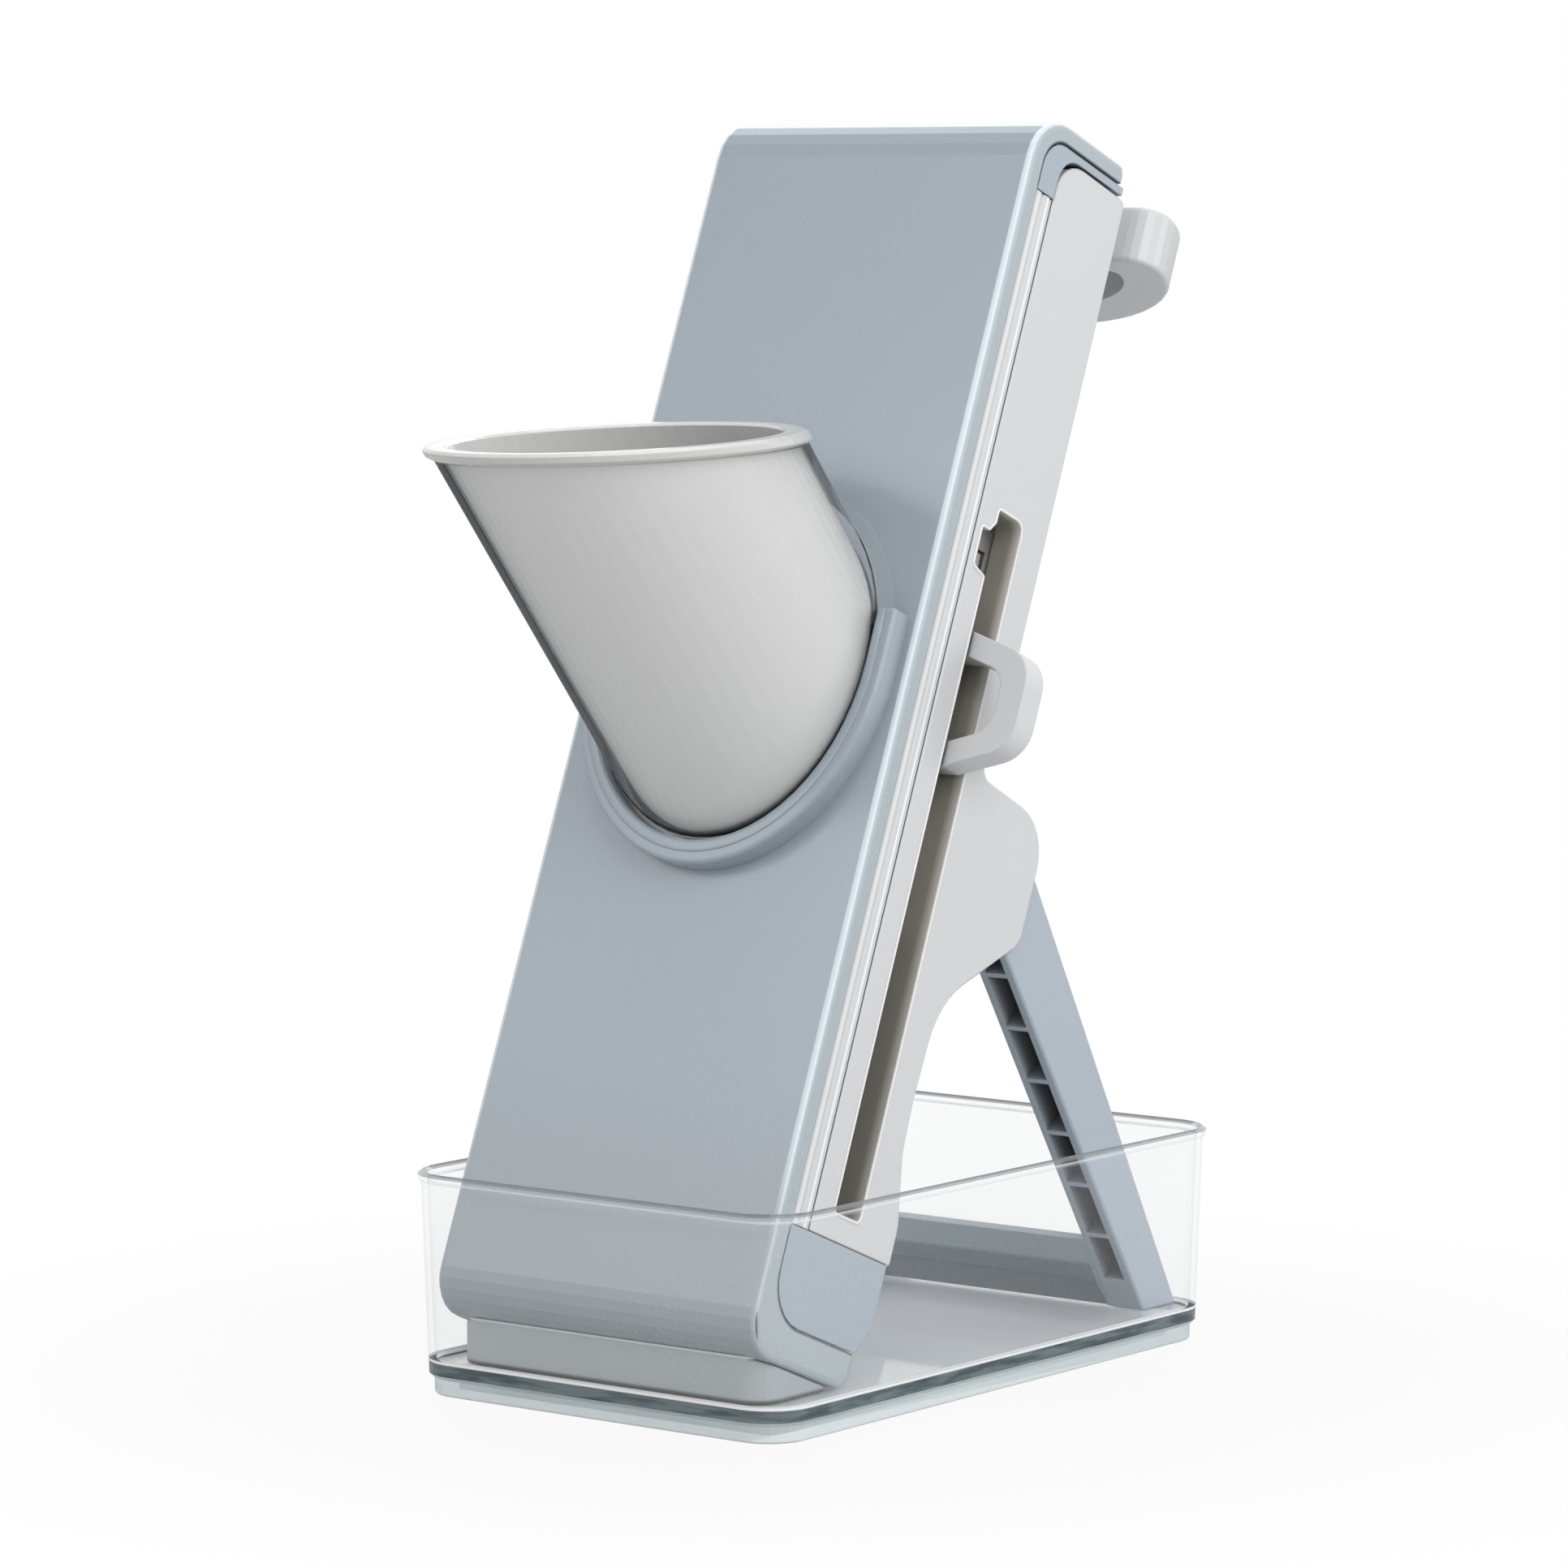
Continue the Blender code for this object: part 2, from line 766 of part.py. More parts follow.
def build_panels(body, light):
    for name, side in both_sides():
        skin_inner = half_frame - panel_skin
        low, high = span(side, skin_inner, half_frame)
        panel = prism(f"side_panel_{name}", panel_outline(), "x", low, high, body, light)
        soften(panel, 0.5, 1, 50)
        low, high = span(side, half_inner, skin_inner + 0.5)
        deep = prism(f"panel_box_{name}", panel_box_outline(0.0), "x", low, high, body)
        low, high = span(side, half_inner - 5.0, skin_inner)
        pocket = prism(f"panel_pocket_{name}", panel_box_outline(panel_wall), "x", low, high, body)
        low, high = span(side, half_inner - 9.0, half_frame + 4.0)
        keep = prism(f"slot_wall_{name}", slot_outline(panel_wall), "x", low, high, body)
        cut(pocket, keep)
        cut(deep, pocket)
        join(panel, deep)
        low, high = span(side, half_inner - 12.0, half_frame + 6.0)
        cut(panel, prism(f"slot_cut_{name}", slot_outline(), "x", low, high, body))


# Foot under the body

def build_foot(body, shell):
    """Low plinth with an upright wall and round front corners, cut off under the leaning cover."""
    top = cover_bottom - fit_gap
    rear = foot_front + foot_length
    plan = rounded([
        (-foot_half_width, foot_front, foot_corner), (foot_half_width, foot_front, foot_corner),
        (foot_half_width, rear, 3.0), (-foot_half_width, rear, 3.0),
    ])
    high = world_point(0.0, cover_bottom)[1] + foot_length
    foot = prism("base_foot", plan, "z", rest_z, high, None, shell)
    above = box_outline(-cover_bottom_depth, top, 3.0 * cover_bottom_depth, top + 3.0 * foot_length)
    cut(foot, prism("foot_top", above, "x", -half_body - 5.0, half_body + 5.0, body))
    soften(foot, 0.5, 1, 50)
    smooth(foot)


# Blade carriage

def carriage_box(name, y0, z0, y1, z1, parent, half):
    return prism(name, box_outline(y0, z0, y1, z1), "x", -half, half, parent)


def build_carriage(body, light, steel, cream):
    slide = frame_empty("carriage_slide", body, (0.0, 0.0, 0.0), 0.0)
    inside = half_carriage - cheek
    back = carriage_back
    frame = None
    for name, side in both_sides():
        low, high = span(side, inside, half_carriage)
        outline = box_outline(cut_plane, carriage_low, back, carriage_high)
        if frame is None:
            frame = prism("carriage_frame", outline, "x", low, high, slide, light)
        else:
            join(frame, prism(f"cheek_{name}", outline, "x", low, high, slide))
        tongue_front = rail_front + rail_flange + slide_gap
        tongue_back = rail_back - rail_flange - slide_gap
        tongue = box_outline(tongue_front, lug_low, cut_plane + 1.0, lug_high)
        join(frame, prism(f"tongue_{name}", tongue, "x", low, high, slide))
        lug_x = half_frame - rail_web - slide_gap
        low, high = span(side, half_carriage - 1.0, lug_x)
        lug = prism(f"lug_{name}", box_outline(tongue_front, lug_low, tongue_back, lug_high), "x",
                    low, high, slide)
        join(frame, lug)

    overlap = inside + 1.0
    rib_front = ring_back + slide_gap
    cross_bars = (
        ("bar_top", lead_plane + 0.4, carriage_high - rib_height, back, carriage_high),
        ("bar_bottom", lead_plane + plate_thickness + fit_gap, carriage_low, back,
         carriage_low + rib_height),
        ("guide_low", rib_front, ring_centre - ring_radius - 2.0, rib_front + comb_wall,
         ring_centre - ring_radius + rib_height),
        ("guide_high", rib_front, comb_low - 2.0 - rib_height, rib_front + comb_wall, comb_low - 2.0),
    )
    for name, y0, z0, y1, z1 in cross_bars:
        join(frame, carriage_box(name, y0, z0, y1, z1, slide, overlap))
    low, high = inside - 2.0, half_carriage + 2.0
    ring_low = ring_centre - ring_radius - slide_gap - 0.2
    ring_high = ring_centre + ring_radius + slide_gap + 0.2
    plate_front = ring_back - comb_wall - slide_gap
    window_back = ring_back + slide_gap
    window_high = comb_high + slide_gap + 0.2
    for name, y0, z0, z1 in (("plate_window", plate_front, ring_low, window_high),
                             ("ring_window", ring_front - slide_gap, ring_low, ring_high),
                             ("comb_notch", cut_plane - 4.0, comb_low - slide_gap, window_high)):
        cut(frame, prism(name, box_outline(y0, z0, window_back, z1), "x", low, high, slide))
    for name, side in both_sides():
        hole = cylinder(f"lug_hole_{name}", "z", (side * rod_x, rod_y), rod_diameter / 2 + hole_gap,
                        lug_low - 2.0, lug_high + 2.0, slide, None, 12)
        cut(frame, hole)

    bar_low = blade_edge + 4.0
    blade_back = cut_plane + blade_thickness + 0.1
    bar_outline = rounded([
        (blade_back + fit_gap, bar_low, 0.0),
        (blade_back + fit_gap + blade_bar_depth, bar_low + 4.0, 1.0),
        (blade_back + fit_gap + blade_bar_depth, bar_low + blade_bar_height, 1.0),
        (blade_back + fit_gap, bar_low + blade_bar_height, 0.0),
    ])
    prism("blade_bar", bar_outline, "x", -half_plate, half_plate, slide, light)
    blade_top = blade_edge + blade_height
    blade_outline = [
        (cut_plane + 0.1, blade_edge), (blade_back, blade_edge + 2.6),
        (blade_back, blade_top), (cut_plane + 0.1, blade_top),
    ]
    prism("blade", blade_outline, "x", -half_plate, half_plate, slide, steel)
    upper_low = blade_top + fit_gap
    upper = prism("upper_plate", box_outline(cut_plane, upper_low, lead_plane + 0.1, carriage_high),
                  "x", -half_plate, half_plate, slide, cream)
    seat = box_outline(blade_back - 0.1, upper_low - 2.0, lead_plane + 2.0,
                       bar_low + blade_bar_height + fit_gap)
    cut(upper, prism("upper_seat", seat, "x", -half_plate - 2, half_plate + 2, slide))
    prism("lead_plate", box_outline(lead_plane, carriage_low, lead_plane + plate_thickness,
                                    comb_low - slide_gap),
          "x", -half_plate, half_plate, slide, cream)
    return slide


def build_comb(slide, steel, light):
    """Cassette that fills the gap under the blade, its steel teeth and the ring that draws it out."""
    pull = frame_empty("comb_pull", slide, (0.0, 0.0, 0.0), 0.0)
    left = cheek + 1.0 - half_carriage
    right = half_carriage - 1.0
    plate_front = ring_back - comb_wall
    profile = [
        (lead_plane, comb_low), (lead_plane + comb_wall, comb_low),
        (lead_plane + comb_wall, comb_high - comb_wall), (plate_front, comb_high - comb_wall),
        (plate_front, ring_centre - ring_radius), (ring_back, ring_centre - ring_radius),
        (ring_back, comb_high), (lead_plane, comb_high),
    ]
    cassette = prism("comb_cassette", profile, "x", left, right, pull, light)
    strip_half = (teeth - 1) / 2 * tooth_pitch + 2.0
    strip_low = comb_low + 1.4
    strip_high = comb_high - 1.4
    strip_back = lead_plane + comb_wall / 2
    bed = box_outline(lead_plane - 2.0, strip_low - fit_gap, strip_back + fit_gap, strip_high + fit_gap)
    cut(cassette, prism("teeth_bed", bed, "x", -strip_half - fit_gap, strip_half + fit_gap, pull))
    strip = box_outline(lead_plane + 0.2, strip_low, strip_back, strip_high)
    comb = prism("comb_teeth", strip, "x", -strip_half, strip_half, pull, steel)
    tip = lead_plane - tooth_reach
    for index in range(teeth):
        x = (index - (teeth - 1) / 2) * tooth_pitch
        tooth = [(lead_plane + 0.6, strip_low), (tip + tooth_reach, strip_low), (tip, strip_high - 0.4),
                 (lead_plane + 0.6, strip_high - 0.4)]
        join(comb, prism(f"tooth_{index}", tooth, "x", x - tooth_thickness / 2,
                         x + tooth_thickness / 2, pull))

    tip = half_frame + ring_out
    root = half_carriage - cheek + 0.6
    lean = math.tan(math.radians(ring_slope))
    tip_half = ring_radius - (tip - half_frame) * lean
    outer = rounded([
        (root, ring_centre - ring_radius, 0.0), (half_frame, ring_centre - ring_radius, 2.0),
        (tip, ring_centre - tip_half, ring_corner), (tip, ring_centre + tip_half, ring_corner),
        (half_frame, ring_centre + ring_radius, 2.0), (root, ring_centre + ring_radius, 0.0),
    ], steps=9)
    hole_end = tip - ring_hole_end
    hole_half = ring_hole - (hole_end - half_frame) * lean
    inner = rounded([
        (root + 4.0, ring_centre - ring_hole, 0.0), (half_frame, ring_centre - ring_hole, 0.0),
        (hole_end, ring_centre - hole_half, ring_hole_corner),
        (hole_end, ring_centre + hole_half, ring_hole_corner),
        (half_frame, ring_centre + ring_hole, 0.0), (root + 4.0, ring_centre + ring_hole, 0.0),
    ], steps=8)
    ring = prism("ring_body", outer, "y", ring_front, ring_back - 0.2, pull)
    cut(ring, prism("ring_hole", inner, "y", ring_front - 3.0, ring_back + 3.0, pull))
    soften(ring, 0.6, 2, 50)
    join(cassette, ring)


def build_grip(slide, light):
    arm_low = grip_low + 1.0
    arm_back = grip_front - fit_gap
    start = carriage_back + fit_gap
    arm = rounded([
        (start, carriage_high - arm_depth, 0.0),
        (start + 4.0, carriage_high - arm_depth, 2.0),
        (arm_back, arm_low, 0.0),
        (arm_back, grip_low + grip_height - 2.0, 0.0),
        (start + 6.0, carriage_high - 1.0, 3.0),
        (start, carriage_high - 1.0, 0.0),
    ])
    press_arm = prism("press_arm", arm, "x", -arm_half_width, arm_half_width, slide, light)
    soften(press_arm, 0.8, 2, 50)

    grip_half_width = half_body + grip_overhang
    centre = grip_front + grip_corner
    outline = d_outline(grip_half_width, grip_front, centre, grip_depth, grip_corner)
    grip = prism("press_grip", outline, "z", grip_low, grip_low + grip_height, slide, light)
    soften(grip, 1.4, 3, 50)
    front = grip_front + grip_corner + 0.5
    recess = d_outline(grip_half_width - grip_band, front, front + 2.5, grip_depth - grip_band - 2.4, 2.5)
    cut(grip, prism("finger_recess", recess, "z", grip_low - 5.0, grip_low + grip_recess, slide))
    smooth(grip)


def build_springs(body, steel):
    """Return springs round the guide rods, from the bottom cap up to the lugs."""
    low = rail_low + spring_wire / 2 + 0.1
    high = lug_low - fit_gap - spring_wire / 2
    steps = spring_turns * points_per_turn
    for name, side in both_sides():
        curve = bpy.data.curves.new(f"return_spring_{name}", "CURVE")
        curve.dimensions = "3D"
        curve.bevel_depth = spring_wire / 2 * MM
        curve.bevel_resolution = 1
        curve.use_fill_caps = True
        line = curve.splines.new("POLY")
        line.points.add(steps)
        points = []
        for step in range(steps + 1):
            angle = side * 2 * math.pi * step / points_per_turn
            point = Vector((side * rod_x + spring_diameter / 2 * math.cos(angle),
                            rod_y + spring_diameter / 2 * math.sin(angle),
                            low + (high - low) * step / steps)) * MM
            points.append(point)
            line.points[step].co = (*point, 1.0)
        spring = bpy.data.objects.new(f"return_spring_{name}", curve)
        bpy.context.collection.objects.link(spring)
        spring.parent = body
        curve.materials.append(steel)
    apart = points_per_turn // 2
    gap = min((points[i] - points[j]).length for i in range(len(points))
              for j in range(i + apart, min(i + 2 * points_per_turn, len(points))))
    print("least spring gap mm:", round(gap / MM - spring_wire, 2))


# Folding stand

def build_stand(body, shell, steel):
    """Two channel legs with ribs and a cross bar, hinged in the ears of the side panels."""
    pivot = frame_empty("stand_pivot", body, (0.0, pivot_y, pivot_z), body_tilt + stand_angle)
    upright = math.radians(stand_angle)
    drop = world_point(pivot_y, pivot_z)[1] - rest_z

    def sole(y, raise_by=0.0):
        """Height in the leg frame of the level sole at y."""
        return (raise_by - drop - y * math.sin(upright)) / math.cos(upright)

    taper = (leg_hub - leg_back_low) / leg_length

    def back_line(z):
        return leg_hub + taper * z

    heel = back_line(-leg_length)
    outline = arc((0.0, 0.0), leg_hub, 0, 180, 10)
    outline += [(-leg_front, -leg_hub * 0.4), (-leg_front, sole(-leg_front)), (heel, sole(heel))]
    frame = None
    for name, side in both_sides():
        low, high = span(side, leg_inner, leg_outer)
        leg = prism("stand_frame" if frame is None else f"leg_{name}", outline, "x", low, high, pivot,
                    shell if frame is None else None)
        soften(leg, 0.6, 1, 50)
        low, high = span(side, leg_inner + leg_web, leg_outer - leg_web)
        for index in range(ribs + 1):
            top = -(rib_first + rib_pitch * (index - 1)) - 0.8 if index else -leg_hub - 3.0
            bottom = -(rib_first + rib_pitch * index) + 0.8
            if index == ribs:
                bottom = -bar_top - 14.0
            pocket = [(-leg_front - 3.0, top), (back_line(top) - leg_web, top),
                      (back_line(bottom) - leg_web, bottom), (-leg_front - 3.0, bottom)]
            cut(leg, prism(f"leg_pocket_{name}_{index}", pocket, "x", low, high, pivot))
        if frame is None:
            frame = leg
        else:
            join(frame, leg)
    inner = leg_inner + 1.0
    bar_front = fit_gap - leg_front
    bar_back = bar_front + bar_wall
    bar = [(bar_front, -bar_top), (bar_back, -bar_top), (bar_back, sole(bar_back, fit_gap)),
           (bar_front, sole(bar_front, fit_gap))]
    join(frame, prism("cross_bar", bar, "x", -inner, inner, pivot))
    low_step = box_outline(0.6 - leg_inner, -2.0 * leg_length, leg_inner - 0.6, -bar_step, 5.0)
    cut(frame, prism("bar_recess", low_step, "y", bar_front - 2.0, bar_front + bar_recess, pivot))
    cut(frame, cylinder("hub_bore", "x", (0.0, 0.0), pin_diameter / 2 + hole_gap,
                        -leg_outer - 5.0, leg_outer + 5.0, pivot, None, 16))

    for name, side in both_sides():
        low, high = span(side, leg_inner - 1.0, half_frame - panel_skin - fit_gap)
        cylinder(f"stand_pin_{name}", "x", (pivot_y, pivot_z), pin_diameter / 2, low, high, body,
                 steel, 16)


def main():
    clear_scene()
    shell = finish("blue_grey_shell", (0.352, 0.413, 0.468), 0.32)
    light = finish("light_grey_plastic", (0.66, 0.67, 0.69), 0.38)
    cream = finish("white_plate", (0.78, 0.78, 0.77), 0.35)
    clear = finish("clear_plastic", (0.90, 0.95, 0.96), 0.06, 0.0, 0.3)
    soft = finish("pale_soft_ring", (0.72, 0.84, 0.87), 0.5, 0.0, 0.6)
    steel = finish("stainless_steel", (0.62, 0.63, 0.64), 0.25, 1.0)

    body = frame_empty("body_frame", None, (0.0, body_origin_y, body_origin_z), -body_tilt)
    build_tray(clear, soft)
    build_cover(body, shell)
    build_sleeve(body, light)
    build_caps(body, shell)
    build_rails(body, light, steel)
    build_panels(body, light)
    build_foot(body, shell)
    slide = build_carriage(body, light, steel, cream)
    build_comb(slide, steel, light)
    build_grip(slide, light)
    build_springs(body, steel)
    build_stand(body, shell, steel)
    holder = build_chute(body, clear)
    build_pusher(holder, light)


main()
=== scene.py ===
import math

import bmesh
import bpy
from mathutils import Matrix, Vector


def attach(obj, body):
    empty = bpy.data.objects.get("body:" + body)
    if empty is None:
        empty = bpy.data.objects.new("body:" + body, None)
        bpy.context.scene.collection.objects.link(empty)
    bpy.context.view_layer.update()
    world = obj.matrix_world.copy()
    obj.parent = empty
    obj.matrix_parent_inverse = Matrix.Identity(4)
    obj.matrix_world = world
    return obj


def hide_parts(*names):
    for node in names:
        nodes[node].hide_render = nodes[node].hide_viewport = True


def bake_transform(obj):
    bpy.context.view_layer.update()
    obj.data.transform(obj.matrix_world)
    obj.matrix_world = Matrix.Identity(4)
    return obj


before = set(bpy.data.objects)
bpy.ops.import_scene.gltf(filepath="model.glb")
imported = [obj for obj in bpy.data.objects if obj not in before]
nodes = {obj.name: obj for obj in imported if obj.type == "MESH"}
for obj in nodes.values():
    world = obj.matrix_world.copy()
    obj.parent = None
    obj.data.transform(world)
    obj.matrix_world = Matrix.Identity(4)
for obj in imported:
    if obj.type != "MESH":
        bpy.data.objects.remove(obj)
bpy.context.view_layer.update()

MM = 0.001
BODY_TILT = math.radians(22.2)
BODY_ORIGIN = Vector((0.0, -100.4, 47.1)) * MM
BODY_FRAME = Matrix.Translation(BODY_ORIGIN) @ Matrix.Rotation(-BODY_TILT, 4, "X")

# Sizes of the model that pieces and colours follow, in millimetres of the leaning body
BODY_HALF = 57.0
COVER_TOP, COVER_TOP_RADIUS = 342.4, 15.0
COVER_LOW, COVER_LOW_RADIUS = -22.3, 12.0
GROOVE_FRONT = 6.2
GROOVE_TOP, GROOVE_TOP_RADIUS = 336.6, 9.0
GROOVE_LOW, GROOVE_LOW_RADIUS = -11.7, 14.0
TOP_CAP_END, LOW_CAP_END = 320.0, 14.5
COLLAR_FACE = -7.0
THROAT_HALF, THROAT_DEPTH, THROAT_CENTRE = 46.8, 54.6, 172.2
COLLAR_HALF, COLLAR_DEPTH, COLLAR_CENTRE, COLLAR_TOP = 52.6, 60.0, 170.7, 189.0
TUBE_RADIUS, TUBE_HEIGHT, TUBE_ANGLE = 46.5, 169.7, math.radians(27.5)
CUP_RADIUS = 43.8
PANEL_FACE = 56.6
SLOT_FRONT, SLOT_BACK, SLOT_LOW, SLOT_HIGH = 24.6, 36.6, 23.4, 229.0
NOTCH_FRONT, NOTCH_LOW, NOTCH_HIGH = 18.4, 211.0, 222.0
SPRING_X, SPRING_Y = 50.9, 10.95
SPRING_LOW, SPRING_HIGH = 16.15, 302.25
SPRING_RADIUS, WIRE_RADIUS = 2.6, 0.45
SPRING_TURNS = 44
BAR_REAR, BAR_MIDDLE = 33.2, 232.8
BAR_SCREWS_X, BAR_SCREW_RADIUS = (-33.0, -11.0, 11.0, 33.0), 2.9
ARM_BACK, ARM_TOP = 53.5, 331.0
ARM_SCREWS_X, ARM_SCREW_RADIUS = (-9.0, 9.0), 2.7
PIVOT_Y, PIVOT_Z, PIN_END = 68.2, 133.7, 41.1

# Sizes in millimetres of the upright tray and of what stands in it
TRAY_FLOOR = 9.4
PLINTH_HALF, PLINTH_FRONT, PLINTH_TOP, PLINTH_CORNER = 53.0, -99.3, 22.2, 8.0
LEG_INSIDE, BAR_STEP = 41.0, 22.9


# Camera, set from the edges of tray and body in the photograph

def set_camera():
    lens = bpy.data.cameras.new("studio_camera")
    lens.lens = 141.6
    lens.sensor_width = 36.0
    lens.sensor_fit = "HORIZONTAL"
    camera = bpy.data.objects.new("studio_camera", lens)
    bpy.context.scene.collection.objects.link(camera)
    camera.location = (1.06798, -1.41462, 0.33712)
    camera.rotation_euler = (math.radians(84.6), 0.0, math.radians(37.4))
    bpy.context.scene.camera = camera


# Shader maths

class Shade:
    """An output of a node that can be used in arithmetic."""

    def __init__(self, nodes_of, socket):
        self.nodes_of = nodes_of
        self.socket = socket

    def maths(self, operation, *values, clamp=False):
        return self.nodes_of.node("ShaderNodeMath", {"operation": operation, "use_clamp": clamp}, values)

    def __add__(self, other):
        return self.maths("ADD", self, other)

    __radd__ = __add__

    def __sub__(self, other):
        return self.maths("SUBTRACT", self, other)

    def __rsub__(self, other):
        return self.maths("SUBTRACT", other, self)

    def __mul__(self, other):
        return self.maths("MULTIPLY", self, other)

    __rmul__ = __mul__

    def __truediv__(self, other):
        return self.maths("DIVIDE", self, other)

    def __pow__(self, other):
        return self.maths("POWER", self, other)

    def __gt__(self, other):
        return self.maths("GREATER_THAN", self, other)

    def __lt__(self, other):
        return self.maths("LESS_THAN", self, other)

    def size(self):
        return self.maths("ABSOLUTE", self)

    def limited(self):
        return self.maths("ADD", self, 0.0, clamp=True)

    def most(self, other):
        return self.maths("MAXIMUM", self, other)

    def ramp(self, low, high, to_low=0.0, to_high=1.0):
        """Smooth step from to_low at low to to_high at high."""
        settings = {"interpolation_type": "SMOOTHSTEP"}
        return self.nodes_of.node("ShaderNodeMapRange", settings, (self, low, high, to_low, to_high))

    def band(self, start, full, fading, end):
        """Rises from start to full, and falls from fading to end."""
        return self.ramp(start, full) * (1.0 - self.ramp(fading, end))

    def inside(self, low, high):
        """1 between low and high, 0 elsewhere."""
        return self.maths("COMPARE", self, (low + high) / 2, (high - low) / 2)

    def mixed(self, first, second):
        """Colour between first and second, by this value."""
        return self.nodes_of.node("ShaderNodeMix", {"data_type": "RGBA"},
                                  {0: self, 6: first, 7: second}, output=2)

    def part(self, axis):
        return self.nodes_of.node("ShaderNodeSeparateXYZ", {}, (self,), output=axis)


class Nodes:
    """A node tree: its nodes are made through node()."""

    def __init__(self, tree):
        self.tree = tree

    def node(self, kind, settings=None, values=(), output=0):
        made = self.tree.nodes.new(kind)
        for name, value in (settings or {}).items():
            setattr(made, name, value)
        pairs = values.items() if isinstance(values, dict) else enumerate(values)
        for key, value in pairs:
            self.feed(made.inputs[key], value)
        return Shade(self, made.outputs[output])

    def feed(self, socket, value):
        if isinstance(value, Shade):
            self.tree.links.new(value.socket, socket)
        elif isinstance(value, (tuple, list)) and socket.type == "RGBA":
            socket.default_value = (*value[:3], 1.0)
        else:
            socket.default_value = value

    def ray(self, kind):
        return self.node("ShaderNodeLightPath", output=f"Is {kind} Ray")


class Finish(Nodes):
    """A material: its shader's sockets are set through set()."""

    def __init__(self, name, **fixed):
        self.material = bpy.data.materials.new(name)
        self.material.use_nodes = True
        super().__init__(self.material.node_tree)
        self.shader = self.tree.nodes["Principled BSDF"]
        self.place = self.node("ShaderNodeTexCoord", output="Object")
        self.set(**fixed)

    def set(self, **sockets):
        for name, value in sockets.items():
            self.feed(self.shader.inputs[name.replace("_", " ").title().replace("Ior", "IOR")], value)
        return self

    def upright(self, axis):
        """Millimetres across (X), back (Y) or up (Z), in the directions of the tray."""
        return self.place.part(axis) / MM

    def leaning(self, axis):
        """Millimetres across (X), back (Y) or up (Z), in the directions of the leaning body."""
        from_origin = self.node("ShaderNodeVectorMath", {"operation": "SUBTRACT"},
                                (self.place, tuple(BODY_ORIGIN)))
        direction = BODY_FRAME.to_3x3().col["XYZ".index(axis)] / MM
        return self.node("ShaderNodeVectorMath", {"operation": "DOT_PRODUCT"},
                         (from_origin, tuple(direction)), output="Value")

    def noise(self, scale, detail=2.0, roughness=0.5, place=None):
        values = {"Vector": place or self.place, "Scale": scale, "Detail": detail, "Roughness": roughness}
        return self.node("ShaderNodeTexNoise", {}, values)

    def stretched(self, x, y, z):
        """The place with each axis scaled by its own amount."""
        return self.node("ShaderNodeVectorMath", {"operation": "MULTIPLY"}, (self.place, (x, y, z)))

    def open_air(self, reach, samples, alone=False):
        """How open a place is to the air within reach: 1 in the open, 0 in a deep hollow."""
        return self.node("ShaderNodeAmbientOcclusion", {"samples": samples, "only_local": alone},
                         {"Distance": reach}, output="AO")

    def edge_on(self, blend=0.5):
        """0 where the surface is seen face on, 1 where it is seen edge on."""
        return self.node("ShaderNodeLayerWeight", {}, {"Blend": blend}, output="Facing")

    def bump(self, height, strength, distance, base=None):
        values = {"Strength": strength, "Distance": distance, "Height": height}
        if base:
            values["Normal"] = base
        return self.set(normal=self.node("ShaderNodeBump", {}, values))

    def blend(self, share, other):
        """Puts a share of another shader over the material's own."""
        own = Shade(self, self.shader.outputs["BSDF"])
        self.feed(self.tree.nodes["Material Output"].inputs["Surface"],
                  self.node("ShaderNodeMixShader", {}, (share, own, other)))

    def pass_lamps(self):
        """Lamps, and light that has bounced off a dull surface, go straight through."""
        straight = self.ray("Shadow").most(self.ray("Diffuse"))
        self.blend(straight, self.node("ShaderNodeBsdfTransparent"))


# Finishes

def moulded(name, colour, gloss, hollow=(0.03, 0.03, 0.03), paint=None, alone=True, coat=0.06, seams=True,
            seams_from=None, open_from=0.12):
    """Injection moulded plastic: even colour with a cloudy tone, soft gloss, eased edges and a faint
    skin texture. Hollows keep less light, so they are painted in the hollow shade colour, and the
    seams between pieces in a dark painted shade. With alone, a piece only paints shade into its own
    hollows. open_from is how open a place can be and still take the painted hollow shade in full.
    When a side distance is given, the painted seam shade only shows further out to the sides than that."""
    speck = 0.04
    edge_radius, grain_depth = 0.0006, 0.00003
    hollow_reach, seam_shade_reach = 0.018, 0.0014
    finish = Finish(name, coat_weight=coat, coat_roughness=0.12, ior=1.47)
    cloud = finish.noise(14.0, 3.0, 0.55)
    fine = finish.noise(900.0, 2.0, 0.6)
    dark = tuple(c * (1.0 - speck) for c in colour)
    light = tuple(min(1.0, c * (1.0 + speck)) for c in colour)
    tint = ((cloud - 0.5) * speck + 0.5).limited().mixed(dark, light)
    if paint:
        tint = paint(finish, tint)
    # Painted shade in hollows, by how open each place is to the air
    tint = finish.open_air(hollow_reach, 6, alone).ramp(open_from, open_from + 0.5).mixed(hollow, tint)
    # Painted dark shade in the thin seams between pieces
    if seams:
        near = finish.open_air(seam_shade_reach, 4).ramp(0.40, 0.85)
        if seams_from:
            near = near.most(1.0 - finish.leaning("X").size().ramp(seams_from, seams_from + 0.4))
        tint = near.mixed(tuple(c * 0.2 for c in colour), tint)
    finish.set(base_color=tint, roughness=(gloss + (fine - 0.5) * 0.08 + (cloud - 0.5) * 0.06).limited())
    eased = finish.node("ShaderNodeBevel", {"samples": 4}, {"Radius": edge_radius})
    return finish.bump(fine, 0.06, grain_depth, eased)


def past_outline(back, beyond, front, radius):
    """How far a place lies outside an outline that runs along the front and turns round a corner.
    beyond is how far the place lies past the corner's centre, along the front."""
    forward = (front + radius - back).most(0.0)
    over = beyond.most(0.0)
    return (forward * forward + over * over) ** 0.5 - radius


